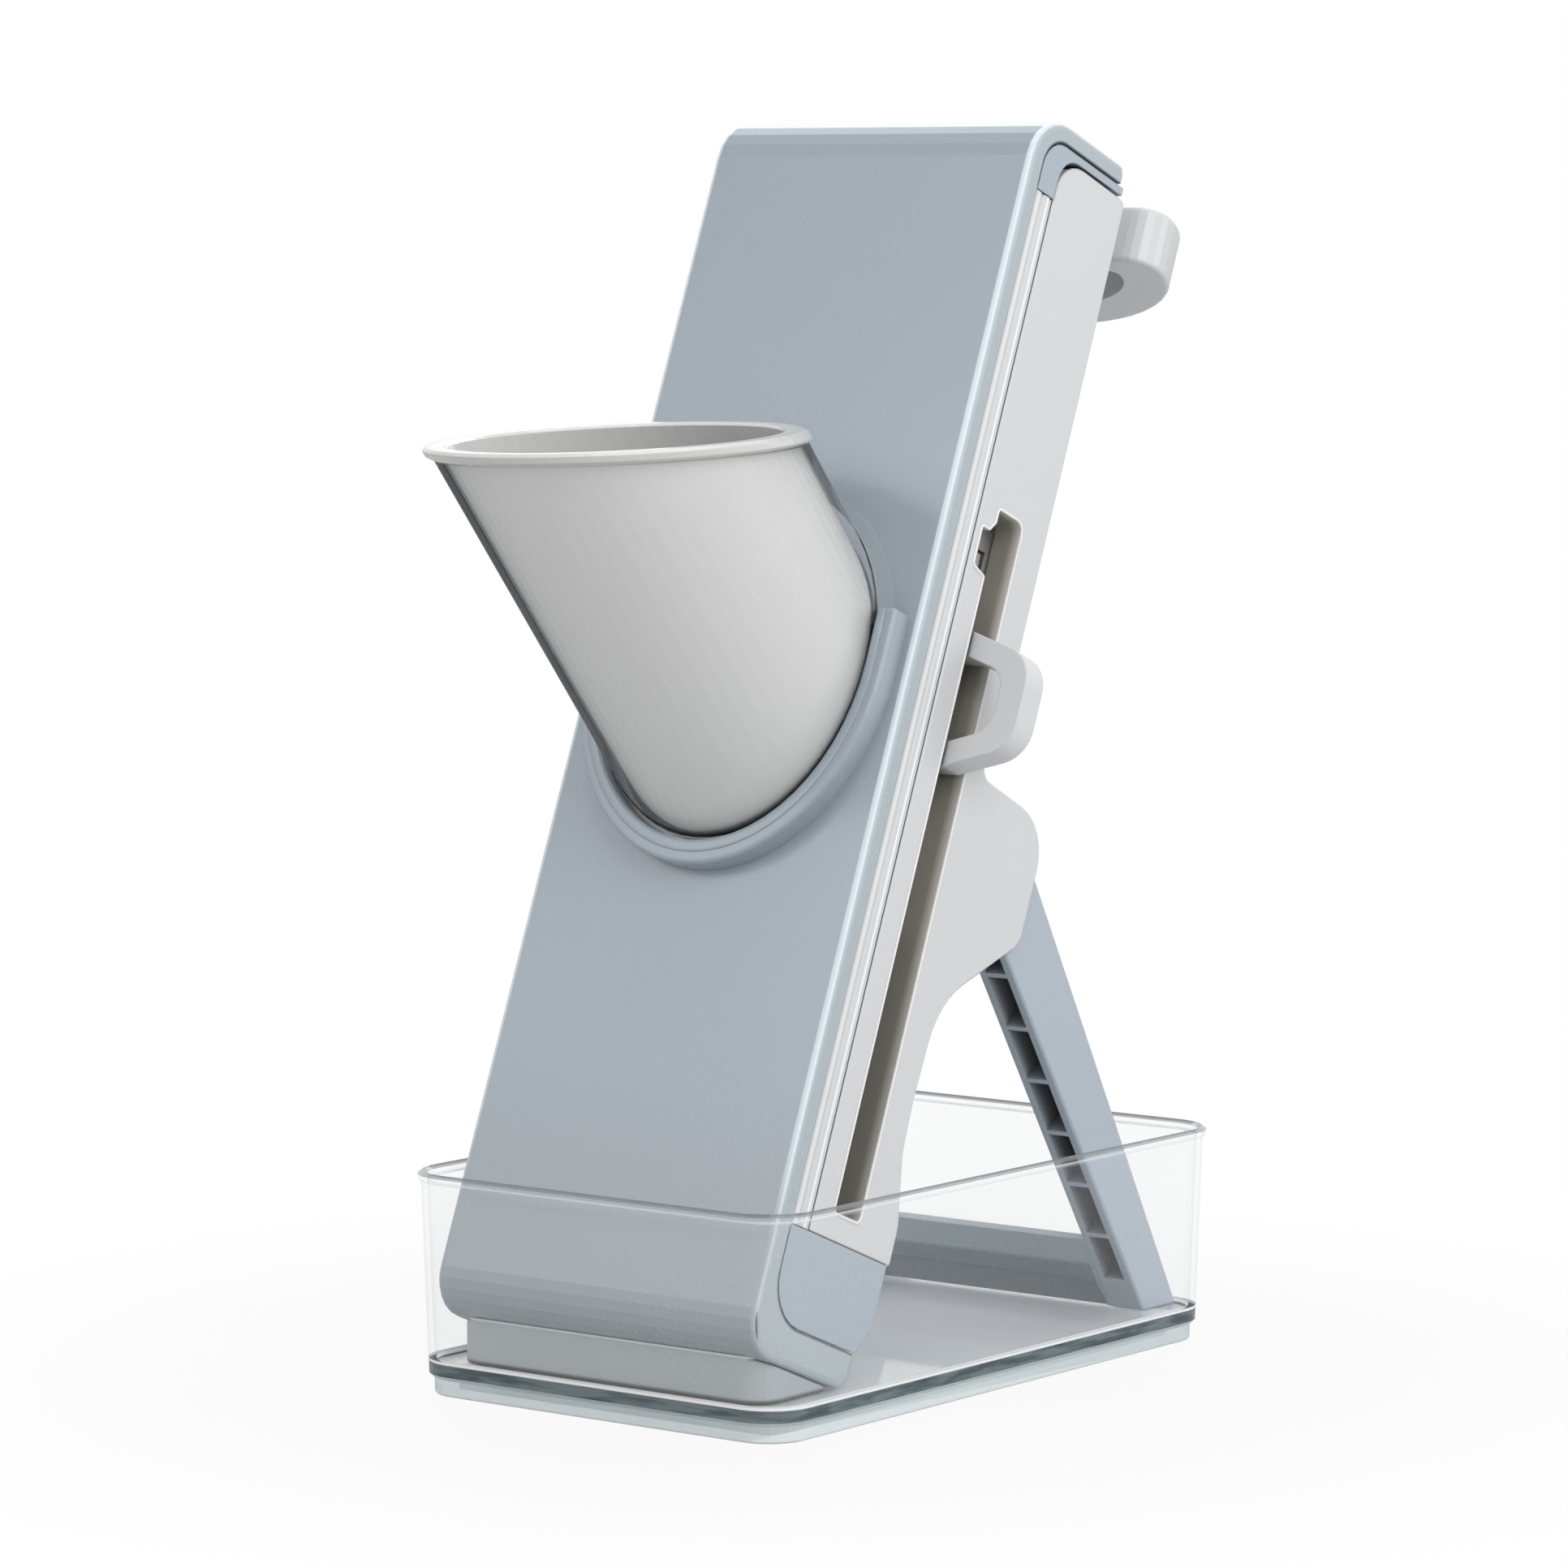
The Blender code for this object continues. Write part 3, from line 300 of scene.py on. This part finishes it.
def cover_paint(finish, tint):
    """Painted light: a painted highlight line along the rounded edge, side rims painted paler as where
    they catch the light, painted shade that deepens the tone at the top and greys it at the bottom, and
    a dark painted shade in the seam round each cap."""
    across, back, up = (finish.leaning(axis) for axis in "XYZ")
    side = across.size()
    past_top = past_outline(back, up - (COVER_TOP - COVER_TOP_RADIUS), 0.0, COVER_TOP_RADIUS)
    past_low = past_outline(back, (COVER_LOW + COVER_LOW_RADIUS) - up, 0.0, COVER_LOW_RADIUS)
    near_skin = past_top.most(past_low).ramp(-2.0, -1.2)
    # Painted light: the side rims are painted paler, as where they catch the light
    rim = side.ramp(BODY_HALF - 1.2, BODY_HALF - 0.5)
    # Painted highlight along the rounded front edge, fainter towards the bottom
    line = side.band(BODY_HALF - 2.2, BODY_HALF - 1.6, BODY_HALF - 0.6, BODY_HALF - 0.1) * near_skin
    line = line * up.ramp(4.0, 34.0, 0.30, 1.0)
    # Painted shade: the face darkens towards the top
    top = up.ramp(150.0, 330.0, 0.0, 0.85) * (1.0 - rim)
    tint = top.mixed(tint, (0.312, 0.368, 0.418))
    tint = line.mixed(rim.mixed(tint, (0.435, 0.495, 0.525)), (0.70, 0.77, 0.83))
    # Painted shade: the face turns greyer towards the bottom
    lowest = (1.0 - up.ramp(-10.0, 60.0)) * (1.0 - rim)
    tint = (lowest * 0.45).mixed(tint, (0.30, 0.33, 0.345))
    # Painted shade in the thin gap between the cover and each cap
    top_gap = past_outline(back, up - (GROOVE_TOP - GROOVE_TOP_RADIUS), GROOVE_FRONT, GROOVE_TOP_RADIUS)
    low_gap = past_outline(back, (GROOVE_LOW + GROOVE_LOW_RADIUS) - up, GROOVE_FRONT, GROOVE_LOW_RADIUS)
    for gap, near_cap in (
            (top_gap, up.ramp(TOP_CAP_END - 2.0, TOP_CAP_END + 2.0)),
            (low_gap, 1.0 - up.ramp(LOW_CAP_END - 1.5, LOW_CAP_END + 1.5))):
        seam = (1.0 - gap.ramp(0.25, 0.75)) * near_cap * side.ramp(BODY_HALF - 1.2, BODY_HALF - 0.8)
        tint = (seam * 0.85).mixed(tint, (0.055, 0.065, 0.075))
    return tint


def foot_paint(finish, tint):
    """The plinth's lowest edge is in its own contact shade."""
    low = 1.0 - finish.upright("Z").ramp(TRAY_FLOOR + 0.2, TRAY_FLOOR + 1.6)
    return low.mixed(tint, (0.06, 0.065, 0.065))


def stand_paint(finish, tint):
    """The foot of the cross bar, below its step, is painted in a deeper shade."""
    between = 1.0 - finish.upright("X").size().ramp(LEG_INSIDE - 0.5, LEG_INSIDE + 0.5)
    low = 1.0 - finish.upright("Z").ramp(BAR_STEP - 0.9, BAR_STEP + 0.9)
    # Painted shade below the bar's step
    return (low * between).mixed(tint, (0.235, 0.262, 0.300))


def rail_paint(finish, tint):
    """The two ridges of a rail end in bright painted highlight lines."""
    outside = finish.leaning("X").size().ramp(PANEL_FACE - 0.4, PANEL_FACE - 0.1)
    back = finish.leaning("Y")
    # Painted highlight lines along the ends of the two ridges
    for ridge, painted_highlight in (((7.3, 8.0, 8.8, 9.4), (0.80, 0.82, 0.83)),
                        ((12.0, 12.7, 13.5, 13.8), (0.93, 0.94, 0.95))):
        tint = (back.band(*ridge) * outside).mixed(tint, painted_highlight)
    return tint


def panel_paint(finish, tint):
    """Painted shade: the slot's walls turn from taupe at the mouth to a dark olive grey inside, and darker
    still lower down.
    """
    across, back, up = (finish.leaning(axis) for axis in "XYZ")
    inward = PANEL_FACE - across.size()
    in_slot = back.inside(SLOT_FRONT - 1.8, SLOT_BACK + 0.6)
    in_notch = back.inside(NOTCH_FRONT - 0.8, SLOT_FRONT + 1.8)
    in_notch = in_notch * up.inside(NOTCH_LOW - 1.4, NOTCH_HIGH + 1.6)
    along = up.inside(SLOT_LOW - 0.8, SLOT_HIGH + 0.8)
    wall = (in_slot + in_notch).limited() * along * (inward > 0.14)
    colour = inward.ramp(0.3, 3.8).mixed((0.70, 0.67, 0.61), (0.325, 0.312, 0.270))
    # Painted shade: darker still towards the lower end of the slot
    lower = 1.0 - up.ramp(40.0, 175.0, 0.72, 1.0)
    return wall.mixed(tint, lower.mixed(colour, (0.05, 0.045, 0.035)))


def from_tube_axis(finish):
    """Millimetres away from the slanting axis of the feed tube."""
    across, back, up = (finish.leaning(axis) for axis in "XYZ")
    square = (up - TUBE_HEIGHT) * math.cos(TUBE_ANGLE) + back * math.sin(TUBE_ANGLE)
    return (across * across + square * square) ** 0.5


def cup_paint(finish, tint):
    """The cup's outer wall is painted a little paler, paler still to the left, as a painted sheen for how
    it looks through the clear tube.
    """
    radius = from_tube_axis(finish)
    wall = radius.band(CUP_RADIUS - 1.4, CUP_RADIUS - 0.8, CUP_RADIUS + 1.1, CUP_RADIUS + 1.6)
    # Painted sheen, paler on the left
    to_right = finish.leaning("X").ramp(-40.0, 40.0)
    return wall.mixed(tint, to_right.mixed((0.86, 0.86, 0.845), (0.705, 0.705, 0.695)))


def shell_finish(name="blue_grey_shell", paint=None, colour=(0.372, 0.425, 0.478), **more):
    return moulded(name, colour, 0.26, (0.15, 0.155, 0.165), paint, **more)


def light_finish(name="light_grey_plastic", paint=None, alone=True, open_from=0.12):
    hollow = (0.05, 0.046, 0.038) if alone else (0.085, 0.080, 0.066)
    return moulded(name, (0.675, 0.68, 0.695), 0.30, hollow, paint, alone, open_from=open_from)


def warm_finish():
    return moulded("pusher_grey", (0.655, 0.655, 0.645), 0.20, (0.20, 0.195, 0.180), cup_paint, coat=0.3,
                   seams=False)


def plate_finish():
    return moulded("white_plate", (0.74, 0.74, 0.73), 0.28, (0.08, 0.08, 0.075), alone=False)


def thin_clear(name, edge_colour):
    """Clear polished plastic, nearly unseen face on and painted greyer and more solid where a wall turns
    edge on, a painted stand-in for the reflections a clear wall shows there. Gives the finish, its
    colour, how edge on it is seen, and the cloudy change in how solid it looks."""
    finish = Finish(name, ior=1.47)
    cloud = finish.noise(22.0, 3.0, 0.5)
    edge_on = finish.edge_on() ** 5.0
    finish.set(roughness=0.025 + cloud * 0.03)
    finish.pass_lamps()
    # Painted greyer tone where the wall turns edge on, standing in for its reflections
    return finish, edge_on.mixed((0.84, 0.865, 0.89), edge_colour), edge_on, (cloud - 0.5) * 0.02


def tray_finish():
    """Tray walls with a dark band of painted shade and painted streaks of reflection where the thick floor
    is seen edge on, painted highlight lines beside the band, a painted highlight line and a dark painted
    reflection line along the rim, and a floor that mirrors what stands on it."""
    finish, colour, edge_on, solid = thin_clear("clear_tray", (0.62, 0.65, 0.68))
    height = finish.upright("Z")
    level = finish.node("ShaderNodeNewGeometry", output="Normal").part("Z").size()
    floor = level.ramp(0.75, 0.95) * (height < TRAY_FLOOR)
    solid = solid + 0.05 + edge_on * 0.26 + floor * 0.60
    upright = 1.0 - level.ramp(0.6, 0.8)
    # Painted reflection: streaks in the dark band
    painted_streak = finish.noise(60.0, 2.0, 0.5, finish.stretched(1.0, 1.0, 9.0))
    dark = painted_streak.ramp(0.35, 0.65).mixed((0.062, 0.092, 0.104), (0.165, 0.210, 0.225))
    soft = 0.12
    # Painted lines: highlights beside the band and along the rim, the dark band, and a dark reflection line
    # on the rim bead
    for low, high, line, amount, where in (
            (4.0, 4.7, (0.90, 0.92, 0.94), 0.60, upright),
            (4.7, 9.5, dark, 0.96, upright),
            (9.5, 10.3, (0.97, 0.98, 0.98), 0.90, upright),
            (60.9, 61.6, (0.95, 0.96, 0.97), 0.45, upright),
            (62.9, 65.0, (0.20, 0.23, 0.25), 0.60, 1.0)):
        share = height.band(low - soft, low + soft, high - soft, high + soft) * where
        colour = share.mixed(colour, line)
        solid = solid + share * amount
    return finish.set(base_color=colour, alpha=solid.limited())


def tube_finish():
    """The feed tube, with a greyer flange and a dark contact shade where it goes into the collar."""
    finish, colour, edge_on, solid = thin_clear("clear_tube", (0.60, 0.63, 0.66))
    radius = from_tube_axis(finish)
    outer = radius.band(TUBE_RADIUS - 1.1, TUBE_RADIUS - 0.6, TUBE_RADIUS + 0.2, TUBE_RADIUS + 0.4)
    shade_reach = 0.006
    closed = 1.0 - finish.open_air(shade_reach, 6).ramp(0.40, 0.74)
    shade = closed * outer * (1.0 - finish.leaning("Y").ramp(COLLAR_FACE + 3.5, COLLAR_FACE + 4.0))
    flange = radius.ramp(TUBE_RADIUS + 0.4, TUBE_RADIUS + 0.8)
    colour = shade.mixed(flange.mixed(colour, (0.42, 0.47, 0.50)), (0.008, 0.010, 0.011))
    solid = solid + 0.06 + edge_on * 0.26 + flange * 0.16 + shade * 1.2
    return finish.set(base_color=colour, alpha=solid.limited())


def soft_finish():
    finish = Finish("pale_soft_mat", roughness=0.45, ior=1.42, coat_weight=0.15, coat_roughness=0.2)
    cloud = finish.noise(40.0, 3.0, 0.5)
    solid = 0.42 + 0.3 * finish.edge_on(0.3) + (cloud - 0.5) * 0.1
    return finish.set(base_color=cloud.mixed((0.62, 0.74, 0.77), (0.70, 0.80, 0.83)), alpha=solid.limited())


def steel_finish(name="brushed_steel", along=(1.0, 1.0, 60.0), tone=(0.55, 0.56, 0.57)):
    """Stainless steel with fine lines drawn across it."""
    finish = Finish(name, metallic=1.0)
    lines = finish.noise(40.0, 3.0, 0.6, finish.stretched(*along))
    cloud = finish.noise(30.0, 2.0, 0.5)
    dark = tuple(c * 0.8 for c in tone)
    finish.set(base_color=lines.mixed(dark, tone), roughness=(0.2 + lines * 0.16 + cloud * 0.05).limited())
    return finish.bump(lines, 0.15, 0.00003)


def shade_edges(mesh):
    """Smooth, apart from the edges that turn more than a gentle bend."""
    mesh.shade_smooth()
    mesh.set_sharp_from_angle(angle=math.radians(35.0))


def dress(names, finish):
    """Gives CAD nodes a finish; their shape stays as it is."""
    for name in names:
        mesh = nodes[name].data
        mesh.materials.clear()
        mesh.materials.append(finish.material)
        shade_edges(mesh)


# Pieces

def circle(steps):
    return [2 * math.pi * step / steps for step in range(steps)]


def rounded(corners, steps=3):
    """Outline through corners (a, b, radius), with an arc at each corner."""
    outline = []
    for index, (a, b, radius) in enumerate(corners):
        here = Vector((a, b))
        before = Vector(corners[index - 1][:2]) - here
        after = Vector(corners[(index + 1) % len(corners)][:2]) - here
        half = before.angle(after) / 2
        reach = radius / math.tan(half)
        centre = here + (before.normalized() + after.normalized()).normalized() * (radius / math.sin(half))
        first = here + before.normalized() * reach - centre
        last = here + after.normalized() * reach - centre
        sweep = first.angle_signed(last)
        for step in range(steps + 1):
            turned = first.copy()
            turned.rotate(Matrix.Rotation(-sweep * step / steps, 2))
            outline.append(centre + turned)
    return outline


def slot_outline():
    """The slot of a side panel, back and up, with the notch at the front of its upper end."""
    upper_front = SLOT_FRONT - 0.3
    return rounded([
        (SLOT_FRONT, SLOT_LOW, 1.0), (SLOT_BACK, SLOT_LOW, 1.5), (SLOT_BACK, SLOT_HIGH, 3.0),
        (upper_front, SLOT_HIGH, 0.8), (upper_front, NOTCH_HIGH + 3.0, 1.0),
        (SLOT_FRONT - 2.6, NOTCH_HIGH, 1.0), (NOTCH_FRONT, NOTCH_HIGH, 0.6),
        (NOTCH_FRONT, NOTCH_LOW, 1.2), (SLOT_FRONT, NOTCH_LOW - 1.5, 1.0)])


def grown(outline, amount):
    """The outline moved outwards by amount, corner by corner."""
    moved = []
    for index, point in enumerate(outline):
        into = (point - outline[index - 1]).normalized()
        out = (outline[(index + 1) % len(outline)] - point).normalized()
        along = (into + out).normalized()
        square = Vector((along.y, -along.x))
        stretch = 1.0 / max(0.6, square.dot(Vector((out.y, -out.x))))
        moved.append(point + square * amount * stretch)
    return moved


def make_piece(name, rings, loop=False, caps=False, frame_of=BODY_FRAME):
    """Mesh of a skin laid over closed rings of points, in millimetres of the frame given."""
    shape = bmesh.new()
    rows = [[shape.verts.new(frame_of @ (Vector(point) * MM)) for point in ring] for ring in rings]
    pairs = list(zip(rows, rows[1:])) + ([(rows[-1], rows[0])] if loop else [])
    for low, high in pairs:
        for index in range(len(low)):
            after = (index + 1) % len(low)
            shape.faces.new((low[index], low[after], high[after], high[index]))
    if caps:
        shape.faces.new(list(reversed(rows[0])))
        shape.faces.new(rows[-1])
    bmesh.ops.recalc_face_normals(shape, faces=shape.faces)
    mesh = bpy.data.meshes.new(name)
    shape.to_mesh(mesh)
    shape.free()
    thing = bpy.data.objects.new(name, mesh)
    bpy.context.scene.collection.objects.link(thing)
    mesh.shade_smooth()
    return thing


def settle(thing, finish, body):
    """Gives a piece its finish and the body that it rides on."""
    thing.data.materials.append(finish.material)
    if body:
        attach(thing, body)


def slot_lips(finish):
    """A small raised bead round the slot of each side panel."""
    profile = [(0.06, -0.25), (0.08, 0.16), (0.24, 0.33), (0.5, 0.37), (0.76, 0.30), (0.92, 0.12),
               (0.96, -0.25)]
    outline = slot_outline()
    for side, name in ((1, "right"), (-1, "left")):
        rings = [[(side * (PANEL_FACE + proud), point.x, point.y) for point in grown(outline, out)]
                 for out, proud in profile]
        settle(make_piece(f"slot_lip_{name}", rings, loop=True), finish, "housing")


def collar_trim(finish):
    """A raised lip along the inner edge of the collar's face. Its profile has the share of the way from
    the throat to the collar's outer edge, and how proud it stands."""
    profile = [(0.03, -0.3), (0.04, 0.16), (0.09, 0.34), (0.17, 0.42), (0.38, 0.42), (0.46, 0.34),
               (0.51, 0.16), (0.52, -0.3)]
    throat = (THROAT_HALF, THROAT_DEPTH, THROAT_CENTRE)
    collar = (COLLAR_HALF, COLLAR_DEPTH, COLLAR_CENTRE)
    top = COLLAR_TOP - 0.9
    steps = 48
    path = [[(-THROAT_HALF, top), (-COLLAR_HALF, top)]]
    for step in range(steps + 1):
        angle = math.pi + math.pi * step / steps
        path.append([(half * math.cos(angle), centre + depth * math.sin(angle))
                     for half, depth, centre in (throat, collar)])
    path.append([(THROAT_HALF, top), (COLLAR_HALF, top)])
    rings = [[(inner[0] + (outer[0] - inner[0]) * share, COLLAR_FACE - proud,
               inner[1] + (outer[1] - inner[1]) * share) for share, proud in profile]
             for inner, outer in path]
    settle(make_piece("collar_trim", rings, caps=True), finish, "housing")


def foot_highlight_bead(finish):
    """A fine pale bead where the cover's curve meets the plinth, thinner towards its ends, that stands in
    as a painted highlight along the join.
    """
    steps = 32
    rings = []
    for step in range(steps + 1):
        share = 2.0 * step / steps - 1.0
        x = PLINTH_HALF * share
        ends = min(1.0, (1.0 - abs(share)) * 12.0) ** 0.5
        corner = max(0.0, abs(x) - (PLINTH_HALF - 6.0))
        y = PLINTH_FRONT + PLINTH_CORNER - math.sqrt(max(0.0, PLINTH_CORNER ** 2 - corner * corner))
        radius = 0.12 + 0.38 * ends
        rings.append([(x, y - radius * 0.6 * math.cos(a), PLINTH_TOP + radius * math.sin(a))
                      for a in circle(10)])
    thing = make_piece("foot_highlight_bead", rings, caps=True, frame_of=Matrix.Identity(4))
    settle(thing, finish, "housing")


def return_coils(finish):
    """Coil springs with closed ends, wound round the two guide rods."""
    closed_turns = 1.6
    closed_pitch = 2.0 * WIRE_RADIUS + 0.12
    open_turns = SPRING_TURNS - 2 * closed_turns
    open_length = SPRING_HIGH - SPRING_LOW - 2 * closed_turns * closed_pitch
    per_turn = 18
    for side, name in ((1, "right"), (-1, "left")):
        rings = []
        for step in range(SPRING_TURNS * per_turn + 1):
            turn = step / per_turn
            closed = min(turn, closed_turns) + max(0.0, turn - (SPRING_TURNS - closed_turns))
            height = SPRING_LOW + closed * closed_pitch + open_length * (turn - closed) / open_turns
            angle = side * 2 * math.pi * turn
            outward = Vector((math.cos(angle), math.sin(angle), 0.0))
            centre = Vector((side * SPRING_X, SPRING_Y, height)) + outward * SPRING_RADIUS
            rings.append([centre + (outward * math.cos(a) + Vector((0, 0, math.sin(a)))) * WIRE_RADIUS
                          for a in circle(8)])
        coil = make_piece(f"return_coil_{name}", rings, caps=True)
        settle(coil, finish, None)
        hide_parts(f"return_spring_{name}")
        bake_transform(coil)


def directions(axis):
    """The axis and the two directions square to it."""
    axis = Vector(axis).normalized()
    one = axis.orthogonal().normalized()
    return axis, one, axis.cross(one)


def turned_rings(profile, centre, axis):
    """Rings of a lathe shape: profile of (radius, height along axis)."""
    axis, one, two = directions(axis)
    return [[Vector(centre) + axis * height + (one * math.cos(a) + two * math.sin(a)) * radius
             for a in circle(24)] for radius, height in profile]


def carve(thing, cutter):
    """Cuts the cutter out of the thing and removes the cutter."""
    step = thing.modifiers.new("carve", "BOOLEAN")
    step.operation = "DIFFERENCE"
    step.solver = "EXACT"
    step.object = cutter
    graph = bpy.context.evaluated_depsgraph_get()
    whole = bpy.data.meshes.new_from_object(thing.evaluated_get(graph))
    thing.modifiers.clear()
    old = thing.data
    thing.data = whole
    bpy.data.meshes.remove(old)
    bpy.data.objects.remove(cutter)


def screw(name, centre, axis, radius, finish):
    """Pan head with an eased rim and a cross recess, on the carriage."""
    head = [(radius * r, radius * h) for r, h in (
        (0.93, -0.10), (1.0, 0.04), (1.0, 0.24), (0.96, 0.36), (0.86, 0.48), (0.66, 0.60), (0.40, 0.67),
        (0.14, 0.70))]
    thing = make_piece(name, turned_rings(head, centre, axis), caps=True)
    axis, one, two = directions(axis)
    wide, long = radius * 0.13, radius * 0.55
    cross = [(wide, long), (wide, wide), (long, wide), (long, -wide), (wide, -wide), (wide, -long),
             (-wide, -long), (-wide, -wide), (-long, -wide), (-long, wide), (-wide, wide), (-wide, long)]
    rings = [[Vector(centre) + axis * height * radius + (one * a + two * b) * taper for a, b in cross]
             for height, taper in ((0.22, 0.82), (0.95, 1.06))]
    carve(thing, make_piece(name + "_recess", rings, caps=True))
    shade_edges(thing.data)
    settle(thing, finish, "carriage")


def fasteners(finish):
    """Screws of the blade bar and the press arm, and the domed ends of the stand's pins."""
    for index, x in enumerate(BAR_SCREWS_X):
        screw(f"bar_screw_{index + 1}", (x, BAR_REAR, BAR_MIDDLE), (0, 1, 0), BAR_SCREW_RADIUS, finish)
    for index, x in enumerate(ARM_SCREWS_X):
        screw(f"arm_screw_{index + 1}", (x, ARM_BACK, ARM_TOP), (0, 0, 1), ARM_SCREW_RADIUS, finish)
    cap = [(3.5, 0.02), (3.9, 0.10), (3.9, 0.55), (3.7, 0.85), (3.1, 1.15), (2.2, 1.4), (1.1, 1.52),
           (0.3, 1.55)]
    for side, name in ((1, "right"), (-1, "left")):
        rings = turned_rings(cap, (side * PIN_END, PIVOT_Y, PIVOT_Z), (-side, 0, 0))
        settle(make_piece(f"pin_cap_{name}", rings, caps=True), finish, "housing")


# Studio

def sky():
    """White where the camera or a mirror sees it, and half as bright for the light that it gives."""
    world = bpy.data.worlds.new("studio_world")
    world.use_nodes = True
    bpy.context.scene.world = world
    given_light = 0.51
    air = Nodes(world.node_tree)
    background = world.node_tree.nodes["Background"]
    air.feed(background.inputs["Color"], (1.0, 1.0, 1.0))
    seen = air.ray("Camera").most(air.ray("Transmission").most(air.ray("Glossy")))
    air.feed(background.inputs["Strength"], seen.ramp(0.0, 1.0, given_light, 1.0))


def studio_floor():
    """White further out, with a trace of the part's shadow and reflected tone close by."""
    mesh = bpy.data.meshes.new("studio_floor")
    shape = bmesh.new()
    bmesh.ops.create_grid(shape, x_segments=1, y_segments=1, size=6.0)
    shape.to_mesh(mesh)
    shape.free()
    floor = bpy.data.objects.new("studio_floor", mesh)
    bpy.context.scene.collection.objects.link(floor)
    finish = Finish("studio_floor", base_color=(0.55, 0.55, 0.55), roughness=0.6)
    far = finish.node("ShaderNodeVectorMath", {"operation": "LENGTH"}, (finish.place,), output="Value")
    seen = finish.ray("Camera").most(finish.ray("Transmission"))
    glow = finish.node("ShaderNodeEmission", {}, {"Strength": 1.0})
    finish.blend(seen * far.ramp(0.14, 0.34, 0.90, 1.0), glow)
    mesh.materials.append(finish.material)


def soft_lamp(name, place, size, watts, target=(0.0, 0.0, 0.2)):
    lamp = bpy.data.lights.new(name, "AREA")
    lamp.shape = "RECTANGLE"
    lamp.size, lamp.size_y = size
    lamp.energy = watts
    thing = bpy.data.objects.new(name, lamp)
    bpy.context.scene.collection.objects.link(thing)
    thing.location = place
    thing.rotation_euler = (Vector(target) - Vector(place)).to_track_quat("-Z", "Y").to_euler()


def studio():
    bpy.context.scene.view_settings.view_transform = "Standard"
    sky()
    studio_floor()
    soft_lamp("right_softbox", (1.5, -0.5, 1.0), (0.9, 1.4), 10.6)
    soft_lamp("front_softbox", (-1.0, -1.7, 1.3), (1.2, 1.2), 8.4)
    soft_lamp("top_softbox", (0.0, 0.3, 1.9), (1.4, 1.4), 9.3)
    soft_lamp("rear_softbox", (-0.95, 1.2, 1.25), (1.1, 1.0), 5.0)
    soft_lamp("low_side_box", (1.35, 0.85, 0.42), (0.6, 0.7), 2.9)
    soft_lamp("edge_strip", (1.36, -0.97, 1.08), (0.10, 1.2), 2.6, (0.05, -0.05, 0.25))


def dress_model():
    """Gives every node of the model its finish."""
    dress(["front_cover"], shell_finish("cover_shell", cover_paint, seams_from=BODY_HALF - 0.8))
    dress(["top_cap", "bottom_cap"], shell_finish("cap_shell", colour=(0.405, 0.468, 0.530)))
    dress(["base_foot"], shell_finish("foot_shell", foot_paint, (0.430, 0.468, 0.482), seams=False))
    dress(["stand_frame"], shell_finish("stand_shell", stand_paint, (0.445, 0.505, 0.568), seams=False))
    dress(["side_panel_left", "side_panel_right"], light_finish("panel_grey_plastic", panel_paint))
    dress(["side_rail_left", "side_rail_right"], light_finish("rail_grey_plastic", rail_paint))
    # Inner parts also take painted hollow shade from the pieces round them, already where they are fairly
    # open
    dress(["inner_sleeve", "carriage_frame", "blade_bar"],
          light_finish("inner_grey_plastic", alone=False, open_from=0.35))
    dress(["comb_cassette"], light_finish("comb_grey_plastic", alone=False))
    dress(["press_arm", "press_grip"], light_finish())
    dress(["pusher"], warm_finish())
    dress(["lead_plate", "upper_plate"], plate_finish())
    dress(["tray"], tray_finish())
    dress(["chute"], tube_finish())
    dress(["tray_foot_mat"], soft_finish())
    dress(["blade", "comb_teeth", "guide_rod_left", "guide_rod_right", "stand_pin_left", "stand_pin_right",
           "return_spring_left", "return_spring_right"], steel_finish())


def main():
    set_camera()
    studio()
    dress_model()
    # The bead is painted paler than the panel, a painted highlight along the slot's edge
    slot_lips(moulded("lip_highlight_grey", (0.90, 0.90, 0.90), 0.25, seams=False))
    collar_trim(shell_finish())
    # A painted highlight: the bead is paler than the cover and the plinth it lies between
    foot_highlight_bead(moulded("painted_highlight_bead", (0.62, 0.66, 0.68), 0.25, seams=False))
    return_coils(steel_finish("spring_steel", (1.0, 1.0, 1.0), (0.50, 0.51, 0.52)))
    fasteners(steel_finish("screw_steel", (30.0, 30.0, 30.0), (0.48, 0.49, 0.50)))


main()
